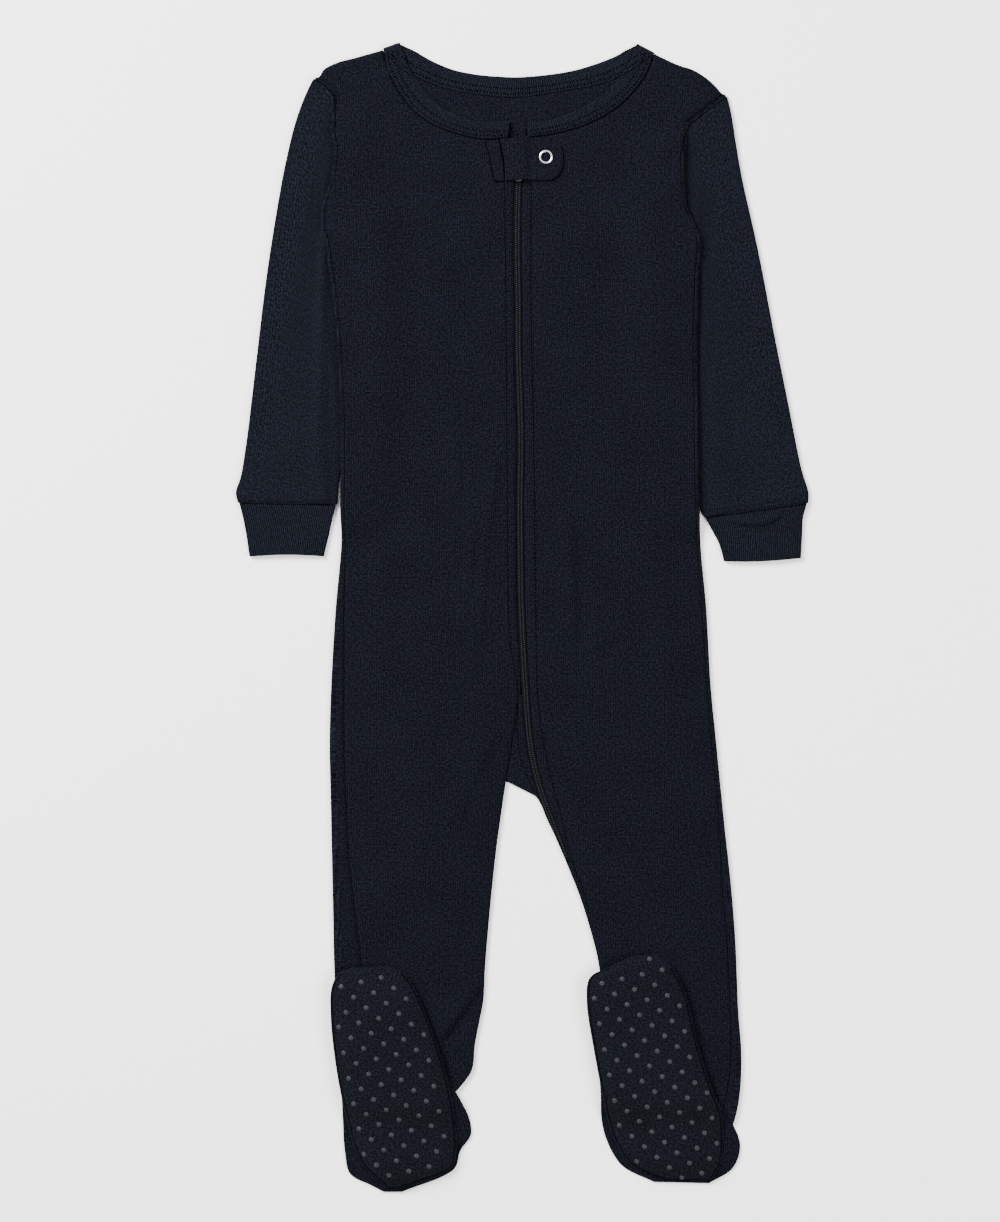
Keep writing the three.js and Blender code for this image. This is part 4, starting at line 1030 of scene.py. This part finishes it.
def make_tube(name, outer_edge, inner_edge, top, bottom, u, high, relief, material):
    """A flattened tube whose two layers join in a rounded fold at each edge."""
    plan = fill(outer_edge, inner_edge, top, bottom, u)
    first, last = plan[:, 0], plan[:, -1]
    width = np.linalg.norm(last - first, axis=1)
    direction = (last - first) / width[:, None]
    share = np.asarray(u)[None, :]
    inset = np.array([slid(row, FOLD * (1 - 2 * share[0])) for row in plan])
    first_way = (plan[:, 2] - first) / np.linalg.norm(plan[:, 2] - first, axis=1)[:, None]
    last_way = (last - plan[:, -3]) / np.linalg.norm(last - plan[:, -3], axis=1)[:, None]
    raised = high * smooth(5 * share) * smooth(5 * (1 - share)) * np.ones((len(plan), 1))
    down = np.concatenate([[0], np.cumsum(np.linalg.norm(np.diff(plan.mean(1), axis=0), axis=1))])
    across = share * width[:, None]
    length = np.broadcast_to(down[:, None], across.shape)
    bends = np.radians([25, 50, 75, 90, 105, 130, 155])

    def turned(edge, way, sign, angles, edge_across):
        rows = []
        for a in angles:
            out = sign * math.sin(a)
            place_xy = edge + way * out * LAYER / 2
            rows.append(np.column_stack([
                place_xy, np.full(len(edge), WALL / 2 + (1 - math.cos(a)) * LAYER / 2),
                np.full(len(edge), out), np.full(len(edge), -math.cos(a)),
                edge_across + 0 * down, down]))
        return np.stack(rows, 1)

    def layer(z, nz, order):
        part = np.dstack([inset, z, 0 * across, np.full_like(across, nz), across, length])
        return part[:, ::order]

    bulge, dip = relief(down[:, None] / down[-1], share, across, length)
    path = np.concatenate([
        layer(np.full_like(across, WALL / 2), -1.0, 1),
        turned(inset[:, -1], last_way, 1, bends, width + 1),
        layer(WALL / 2 + LAYER + raised + bulge, 1.0, -1),
        turned(inset[:, 0], first_way, -1, bends[::-1], -1.0),
    ], axis=1)
    ribs = np.zeros(path.shape[:2])
    n = len(u)
    top_start = n + len(bends)
    ribs[:, :n] = -dip * 0.5
    ribs[:, top_start:top_start + n] = dip[:, ::-1]
    grids = []
    for sign in (1, -1):
        offset = sign * WALL / 2 + (ribs if sign > 0 else 0)
        flat_out = path[..., 3] * offset
        grids.append(np.dstack([
            path[..., 0] + flat_out * direction[:, :1],
            path[..., 1] + flat_out * direction[:, 1:],
            np.maximum(path[..., 2] + path[..., 4] * offset, 0.0)]))
    return shell(name, grids[1], grids[0], path[..., 5:7], material, ring=True)


def sleeve_relief(swell_height):
    """Soft creases, the small gathers above the cuff, and the swell outside the body's edge."""
    def relief(v, u, across, length):
        total = length[-1, 0]
        width = across[:, -1:]
        s, t = u * width, v * total
        lumps = 0 * across
        for v0, u0, v1, u1, height, size in SLEEVE_CREASES:
            mid = width[int(len(width) * (v0 + v1) / 2), 0]
            lumps = lumps + ridge(s, t, u0 * mid, v0 * total, u1 * mid, v1 * total, height, size)
        from_swell = s - (0.34 + 0.52 * v) * width
        away = from_swell / SWELL_WIDTH
        lumps = lumps + swell_height * np.exp(-(away**2)) * smooth((v - 0.08) * 6)
        from_hem = total - t
        waves = np.sin(across / 2.9 + np.sin(across / 7))
        gathers = GATHERS["height"] * waves * np.exp(-from_hem / GATHERS["reach"])
        swell = 0.5 * np.exp(-(((from_hem - 5) / 4.5) ** 2)) - 0.5 * np.exp(-(from_hem / 1.6))
        uneven = 0.12 * np.sin(s / 6.3 + t / 19) * np.sin(t / 11)
        fade = smooth(u * 8) * smooth((1 - u) * 8) * smooth(v * 20)
        return np.maximum((lumps + gathers + swell + uneven) * fade, -0.25), 0 * across
    return relief


def cuff_relief(ribs, fold):
    """Ribs, and on one cuff the crosswise fold under its seam."""
    def relief(v, u, across, length):
        wave = np.cos(2 * math.pi * ribs * u) * smooth(v * 12) * smooth((1 - v) * 14)
        roll = -0.35 * np.exp(-v / 0.05) - 0.3 * np.exp(-(1 - v) / 0.04)
        from_fold = v - (CUFF_FOLD["place"] - 1.3 * (u - 0.5) ** 2)
        window = fold * smooth((u - 0.18) * 6) * smooth((0.86 - u) * 6)
        one_sided = np.exp(-((from_fold / CUFF_FOLD["width"]) ** 2)) * (from_fold < 0)
        bulge = CUFF_FOLD["height"] * one_sided * window
        crown = 0.25 * smooth(3 * u) * smooth(3 * (1 - u))
        return crown + bulge + 0 * across, RIB_DEPTH * wave + roll * 0.5
    return relief


def sewn_armhole(points, table, side):
    """The armhole's points drawn up to the body's outline wherever they lie outside it."""
    heights = np.linspace(200, table[0][0], 900)
    outline = columns_xy(at(table, heights), heights)
    drawn = []
    for p in points:
        nearest = outline[np.hypot(*(outline - p).T).argmin()]
        apart = np.hypot(*(p - nearest))
        outside = side * (p[0] - at(table, p[1])) > 0
        drawn.append(nearest + (p - nearest) * ARMHOLE_GAP / apart if outside else p)
    return np.array(drawn)


def make_arm(side_name, arm, table, side):
    """One sleeve and the cuff that runs on from it."""
    u, v = even(60), even(150)
    hem = straight(arm["outer"][-1], arm["inner"][-1], u)
    armhole = sewn_armhole(along(arm["armhole"], u), table, side)
    outer_edge, inner_edge = along(arm["outer"], v), along(arm["inner"], v)
    outer_edge[0], inner_edge[0] = armhole[0], armhole[-1]
    sleeve = make_tube(f"sleeve_{side_name}_cloth", outer_edge, inner_edge, armhole, hem, u,
                       SLEEVE_PUFF, sleeve_relief(SLEEVE_SWELL[side_name]), sleeve_knit_painted_lighter)
    place(sleeve, "knit", f"sleeve_{side_name}")
    u, v = even(CUFF_RIBS * 5), even(48)
    outside, inside = along(arm["cuff outer"], v), along(arm["cuff inner"], v)
    outside[0, 1] += CUFF_TUCK
    inside[0, 1] += CUFF_TUCK
    top = straight(outside[0], inside[0], u)
    end = straight(outside[-1], inside[-1], u)
    end[:, 1] += arm["bow"] * np.sin(math.pi * u)
    relief = cuff_relief(CUFF_RIBS, arm["folded cuff"])
    cuff = make_tube(f"cuff_{side_name}_rib", outside, inside, top, end, u, CUFF_PUFF, relief, rib_knit)
    place(cuff, "rib", f"cuff_{side_name}")
    return sleeve, cuff


arm_pieces = {
    "right": make_arm("right", RIGHT_ARM, LEFT_SIDE, -1),
    "left": make_arm("left", LEFT_ARM, RIGHT_SIDE, 1),
}


# Neckband: one ribbed strip, folded over at both shoulders


def make_neckband():
    def stretch(table, count):
        t = np.array(table, float)
        return np.stack([along(t[:, :2], even(count)), along(t[:, 2:], even(count))], 1)

    front_high = LAYER + WALL / 2
    left, back_part, right = (
        stretch(LEFT_NECK, 260)[::-1], stretch(BACK_NECK, 420), stretch(RIGHT_NECK, 260))
    rows = []

    def lay(pairs, z, up):
        for pair in pairs:
            rows.append((pair, z, np.zeros(2), up))

    def turn(pair, angles):
        a, b = pair
        sign = 1 if a[0] < 0 else -1
        step = (b - a) / np.linalg.norm(b - a)
        away = sign * np.array([-step[1], step[0]])
        for angle in angles:
            shift = away * math.sin(angle)
            rows.append((pair + shift * LAYER / 2,
                         WALL / 2 + LAYER / 2 + math.cos(angle) * LAYER / 2, shift, math.cos(angle)))

    bends = np.radians(np.linspace(15, 165, 9))
    lay(left, front_high, 1)
    turn(back_part[0], bends)
    lay(back_part, WALL / 2, -1)
    turn(back_part[-1], bends[::-1])
    lay(right, front_high, 1)
    pairs = np.array([r[0] for r in rows])
    z = np.array([r[1] for r in rows])[:, None]
    out = np.array([r[2] for r in rows])
    up = np.array([r[3] for r in rows])[:, None]
    t = rimmed(8)
    middle = pairs.mean(1)
    run = np.concatenate([[0], np.cumsum(np.linalg.norm(np.diff(middle, axis=0), axis=1))])
    xy = pairs[:, :1] + (pairs[:, 1:] - pairs[:, :1]) * t[None, :, None]
    crown = 0.35 * np.sin(math.pi * t)[None] * np.maximum(up, 0)
    rib = 0.17 * np.cos(2 * math.pi * run / RIB)[:, None] * smooth(t * 9) * smooth((1 - t) * 9)
    half = WALL / 2 * np.where((t == 0) | (t == 1), 0.45, 1.0)[None] * np.ones_like(run)[:, None]
    grids = []
    for sign in (1, -1):
        offset = sign * (half + rib * (0.5 if sign < 0 else 1))
        grids.append(np.dstack([
            xy[..., 0] + offset * out[:, :1], xy[..., 1] + offset * out[:, 1:],
            np.maximum(z + offset * up + crown, 0)]))
    weave = np.dstack([run[:, None] + 0 * t[None], np.broadcast_to(t * 11, (len(run), len(t)))])
    return shell("neck_rib", grids[1], grids[0], weave, rib_knit)


neckband = place(make_neckband(), "rib", "neckband")


# Guard over the zip's top, placket strip and snap ring

guard_rise = pull_base + PULL["high"] - float(
    front_top(np.array(SLIDER["x"]), np.array(float(PULL["bottom"]))))


def guard_under(x, y):
    over = 1 - smooth((np.abs(x - SLIDER["x"]) - 3) / 5)
    return front_top(x, y) + GAP + guard_rise * over


def guard_relief(x, y):
    hem = -0.6 * np.exp(-(((y - GUARD_HEM) / 0.7) ** 2)) + 0.25 * smooth((GUARD_HEM - 0.6 - y) / 2)
    hem = hem - 0.35 * np.exp(-(((x - GUARD_FOLD) / 0.6) ** 2))
    snapped = -0.45 * np.exp(-(np.hypot(x - SNAP["x"], y - SNAP["y"]) / 5.5) ** 2)
    return hem + snapped + 0.08 * np.sin(x / 3.1 + y / 5)


rows, columns = rimmed(40), rimmed(52)
guard = place(sheet("guard", pair_plan(GUARD, rows, columns), guard_under, guard_relief,
                    rim_height(rows, columns, 0.4), body_knit), "knit", "zip_guard")
rows, columns = rimmed(34), rimmed(10)
placket = place(sheet("placket", pair_plan(PLACKET, rows, columns),
                      lambda x, y: front_top(x, y) + GAP - 0.2,
                      lambda x, y: 0.1 * np.sin(y / 2.3), rim_height(rows, columns, 0.4),
                      body_knit), "knit", "placket_strip")


def make_ring():
    """A prong ring: round outside, flatter on top, with a rolled inner lip."""
    sides, around = 14, 56
    middle, half = (SNAP["outer"] + SNAP["inner"]) / 2, (SNAP["outer"] - SNAP["inner"]) / 2
    base = float(guard_under(np.array(SNAP["x"]), np.array(SNAP["y"]))) + WALL - 0.15
    a = np.linspace(0, 2 * math.pi, sides, endpoint=False)
    b = np.linspace(0, 2 * math.pi, around, endpoint=False)
    radius = middle + half * np.cos(a)
    height = base + 0.5 + 0.5 * np.sign(np.sin(a)) * np.abs(np.sin(a)) ** 0.8
    prong = 1 + 0.02 * np.cos(5 * b)[:, None] * (np.cos(a) < -0.5)
    points = np.dstack([SNAP["x"] + radius * prong * np.cos(b)[:, None],
                        SNAP["y"] + radius * prong * np.sin(b)[:, None],
                        np.broadcast_to(height, (around, sides))]).reshape(-1, 3)
    index = np.arange(around * sides).reshape(around, sides)
    p, q = np.roll(index, -1, 0), np.roll(index, -1, 1)
    r = np.roll(p, -1, 1)
    faces = np.stack([index, p, r, q], -1).reshape(-1, 4)
    return mesh_piece("snap", points, faces, bright_metal)


place(make_ring(), "metal", "snap_ring")


# Feet, turned up over the legs, with grip dots on the soles


def foot_under(x, y):
    """On the leg, and down to the floor past the leg's end."""
    return (front_top(x, y) + GAP) * smooth((y - HEEL_FLOOR) / (HEEL_LEG - HEEL_FLOOR))


def rim(u, v, sharp=6):
    """Nought at the outline of a sheet and one inside it."""
    return smooth(sharp * np.minimum(u, 1 - u)) * smooth((sharp + 1) * np.minimum(v, 1 - v))


def foot_relief(x, y, u, v, seed):
    """Puckers round the heel and toe where the sole is sewn in, and a few soft dents."""
    ring = np.arctan2(v - 0.5, (u - 0.5) * 0.6)
    from_edge = np.minimum(np.minimum(u, 1 - u) * 1.2, np.minimum(v, 1 - v) * 2)
    near_edge = np.exp(-from_edge / PUCKER["reach"])
    waves = PUCKER["height"] * np.sin(ring * PUCKER["turns"] + seed)
    puckers = waves * near_edge * (0.5 + 0.5 * np.abs(2 * v - 1))
    dents = 0.35 * np.sin(x / 11 + seed) * np.sin(y / 17 + seed) + 0.15 * np.sin(x / 5 + y / 7 + seed)
    return puckers + dents * rim(u, v, 4)


def make_foot(side_name, upper_table, sole_table, seed):
    rows, columns = rimmed(110, 0.3), rimmed(64, 0.3)
    u, v = np.meshgrid(columns, rows)
    plan = pair_plan(upper_table, rows, columns)
    x, y = plan[..., 0], plan[..., 1]
    low = foot_under(x, y)
    thick = WALL + (FOOT_LAYER - WALL) * rim(u, v)
    edge = rim_height(rows, columns, 0.45)
    puckers = 0.3 * foot_relief(x, y, u, v, seed) * edge * (thick < 2)
    inner = np.dstack([x, y, low + (1 - edge) * 0.3])
    outer = np.dstack([x, y, low + thick * edge + puckers])
    upper = shell(f"foot_{side_name}_cloth", inner, outer, plan, body_knit)
    place(upper, "knit", f"foot_{side_name}")
    plan = pair_plan(sole_table, rows, columns)
    x, y = plan[..., 0], plan[..., 1]
    base = foot_under(x, y) + FOOT_LAYER + GAP + FOOT_PUFF * rim(u, v)
    top = base + WALL * edge + np.maximum(foot_relief(x, y, u, v, seed + 2), -0.4)
    droop = 1.1 * np.exp(-np.minimum(np.minimum(u, 1 - u), np.minimum(v, 1 - v) * 1.8) / 0.03)
    slant = np.array([[0.97, 0.24], [-0.24, 0.97]])
    inner = np.dstack([x, y, base - droop + (1 - edge) * 0.3])
    outer = np.dstack([x, y, top - droop])
    sole = shell(f"sole_{side_name}_cloth", inner, outer, plan @ slant, sole_knit)
    place(sole, "sole", f"sole_{side_name}")
    return upper, sole


def inside(outline, x, y):
    """Whether a point lies within a closed outline."""
    a, b = outline, np.roll(outline, -1, axis=0)
    crosses = (a[:, 1] > y) != (b[:, 1] > y)
    where = a[:, 0] + (y - a[:, 1]) * (b[:, 0] - a[:, 0]) / np.where(crosses, b[:, 1] - a[:, 1], 1)
    return (crosses & (x < where)).sum() % 2 == 1


def grip_dots(side_name, sole, table, start):
    """Low domes on a slanting lattice, kept clear of the sole's edge."""
    step_a, step_b = np.array([7.5, -6.3]), np.array([-4.5, -9.0])
    radius, rise, sunk, margin = 1.6, 0.75, 0.1, 3.4
    t = np.array(table, float)
    outline = np.vstack([along(t[:, :2], even(60)), along(t[:, 2:], even(60))[::-1]])
    surface = Surface(sole)
    points, faces = bead(14, 4, half=True)
    places = []
    for i in range(-24, 25):
        for j in range(-24, 25):
            x, y = np.array(start) + i * step_a + j * step_b
            near = np.hypot(*(outline - (x, y)).T).min()
            if not inside(outline, x, y) or near < margin:
                continue
            z, up = surface.drop(x, y)
            side = np.cross(up, [0, 1, 0])
            side /= np.linalg.norm(side)
            ahead = np.cross(side, up)
            axes = [side * radius, -ahead * radius, up * rise]
            places.append(((x, y, z - sunk), axes))
    place(many(f"grip_dots_{side_name}", points, faces, places, grip), "sole")


# Each foot's outlines, the seed of its puckers and the place of one of its dots
feet = {
    "right": (RIGHT_UPPER, RIGHT_SOLE, 0.0, (-80, -270)),
    "left": (LEFT_UPPER, LEFT_SOLE, 1.7, (76, -268)),
}
foot_pieces = {}
for side_name, (upper_table, sole_table, seed, start) in feet.items():
    upper, sole = make_foot(side_name, upper_table, sole_table, seed)
    grip_dots(side_name, sole, sole_table, start)
    foot_pieces[side_name] = {"upper": upper, "sole": sole}


# Sewing: rows of stitches on the cloth, and dark lines of painted shade along seams, edges and folds


def band_path(table, share):
    """A line along the neckband, at a share of the way from its seam to its free edge."""
    t = np.array(table, float)
    along_band = np.linspace(0.02, 0.98, 60)
    seam, free = along(t[:, :2], along_band), along(t[:, 2:], along_band)
    return seam + (free - seam) * share


def seam(name, pieces, paths, slot, wide=0.9):
    """A fine dark line of overlock where two pieces are sewn together; it is also painted shade for the
    seam's ditch, and the same line marks edges and folds.
    """
    line = stitches(name, Surface(*pieces), paths, dark_thread_and_seam_shade, long=2.2, wide=wide, high=0.32,
                    step=1.9)
    place(line, slot)


HEM_SEAM_DROP, HEM_SEAM_INSET = 0.5, 1
SOLE_SEAM_INSET = 1.3
ARMHOLE_SEAM_POINTS = 7
for side_name, arm, inward in (("right", RIGHT_ARM, 1), ("left", LEFT_ARM, -1)):
    hem = straight(arm["outer"][-1], arm["inner"][-1], even(8)) - (0, HEM_SEAM_DROP)
    hem[0, 0] += inward * HEM_SEAM_INSET
    pieces = arm_pieces[side_name]
    seam(f"cuff_{side_name}_seam", pieces, [hem], "knit")
    seam(f"armhole_{side_name}_seam", (*pieces, back, front_right, front_left),
         [arm["armhole"][:ARMHOLE_SEAM_POINTS]], "knit")
for side_name, (_, sole_table, _, _) in feet.items():
    t = np.array(sole_table, float)
    seam(f"sole_{side_name}_seam", [foot_pieces[side_name]["sole"]],
         [t[1:, :2] + (SOLE_SEAM_INSET, 0), t[1:, 2:] - (SOLE_SEAM_INSET, 0)], "sole")

NECK_TABLES = (LEFT_NECK, BACK_NECK, RIGHT_NECK)
front_surface = Surface(front_right, front_left, inseam)
zip_rows = [[(x, y) for y, x in table] for table in (LEFT_TOPSTITCH, RIGHT_TOPSTITCH)]
place(stitches("zip_stitching", front_surface, zip_rows, dark_thread_and_seam_shade, long=2.1, wide=0.65,
               high=0.3), "knit")
neck_rows = [band_path(table, share) for table in NECK_TABLES for share in (0.2, 0.46)]
place(stitches("neck_stitching", Surface(neckband), neck_rows, dark_thread_and_seam_shade, long=1.15, wide=1.15,
               high=0.45, step=2.1), "rib")
cloth_at_neck = (neckband, back, front_right, front_left)
seam("neck_seam", cloth_at_neck, [band_path(table, 0.03) for table in NECK_TABLES], "rib", 0.6)
# Dark lines of painted shade along the placket's edges and the neckband's end folds
seam("placket_edges", (placket, guard, front_right), [
    [(-22.4, 286), (-19.9, 277), (-17, 262)], [(-16.6, 261.8), (-11.2, 261.8)],
    [(-14, 287.4), (-13.4, 281.5), (-11.5, 271), (-11, 262.5)],
], "knit")
seam("band_end_folds", cloth_at_neck, [
    [(-8.2, 297), (-6.8, 293.5), (-4.8, 289.9)], [(1.6, 294), (2.5, 289.4)],
], "rib")
guard_rows = [[(-9.6, GUARD_HEM), (6, GUARD_HEM), (22.5, GUARD_HEM + 0.2)]]
placket_rows = [[(-20.4, 285), (-18.1, 277), (-15.6, 263.5)]]
crotch_rows = [[(float(at(CROTCH_LINE, y)) - 1.6, y) for y in np.linspace(-50, -97, 12)]]
place(stitches("guard_stitching", Surface(guard), guard_rows, thread, long=1.3, step=2.0), "knit")
place(stitches("placket_stitching", Surface(placket), placket_rows, thread, long=1.3, step=2.0),
      "knit")
place(stitches("inseam_stitching", front_surface, crotch_rows, thread, long=1.2, step=2.2), "knit")


# Floor, light and camera


def make_floor():
    """A wide plain floor just under the cloth."""
    half, low = 3.0, -0.0002
    corners = [(-half, -half, low), (half, -half, low), (half, half, low), (-half, half, low)]
    mesh = bpy.data.meshes.new("floor")
    mesh.from_pydata(corners, [], [(0, 1, 2, 3)])
    material, tree, shader = nodes_of("pale_floor")
    shader.inputs["Base Color"].default_value = (0.93, 0.93, 0.93, 1)
    shader.inputs["Roughness"].default_value = 0.9
    mesh.materials.append(material)
    floor = bpy.data.objects.new("floor", mesh)
    bpy.context.scene.collection.objects.link(floor)


def area_light(name, spot, aim, size, power):
    data = bpy.data.lights.new(name, "AREA")
    data.shape = "SQUARE"
    data.size = size
    data.energy = power
    light = bpy.data.objects.new(name, data)
    light.location = spot
    light.rotation_euler = (Vector(aim) - Vector(spot)).to_track_quat("-Z", "Y").to_euler()
    bpy.context.scene.collection.objects.link(light)


def make_camera():
    """Straight above, with the photograph's 600 by 733 mm on the cloth in view."""
    view_height, lens, sensor = 0.7332, 100, 36
    middle_x, middle_y, cloth_top = -0.0135, 0.0042, 0.003
    data = bpy.data.cameras.new("camera")
    data.lens = lens
    data.sensor_width = sensor
    camera = bpy.data.objects.new("camera", data)
    camera.location = (middle_x, middle_y, cloth_top + view_height * lens / sensor)
    bpy.context.scene.collection.objects.link(camera)
    bpy.context.scene.camera = camera


make_floor()
make_camera()
world = bpy.context.scene.world or bpy.data.worlds.new("studio")
bpy.context.scene.world = world
world.use_nodes = True
backdrop = world.node_tree.nodes.get("Background")
backdrop.inputs["Color"].default_value = (1, 1, 1, 1)
backdrop.inputs["Strength"].default_value = 0.85
area_light("key", (-1.5, 1.3, 1.5), (0, 0, 0), 1.1, 235)
area_light("fill", (1.6, -0.7, 1.7), (0, 0, 0), 1.5, 90)
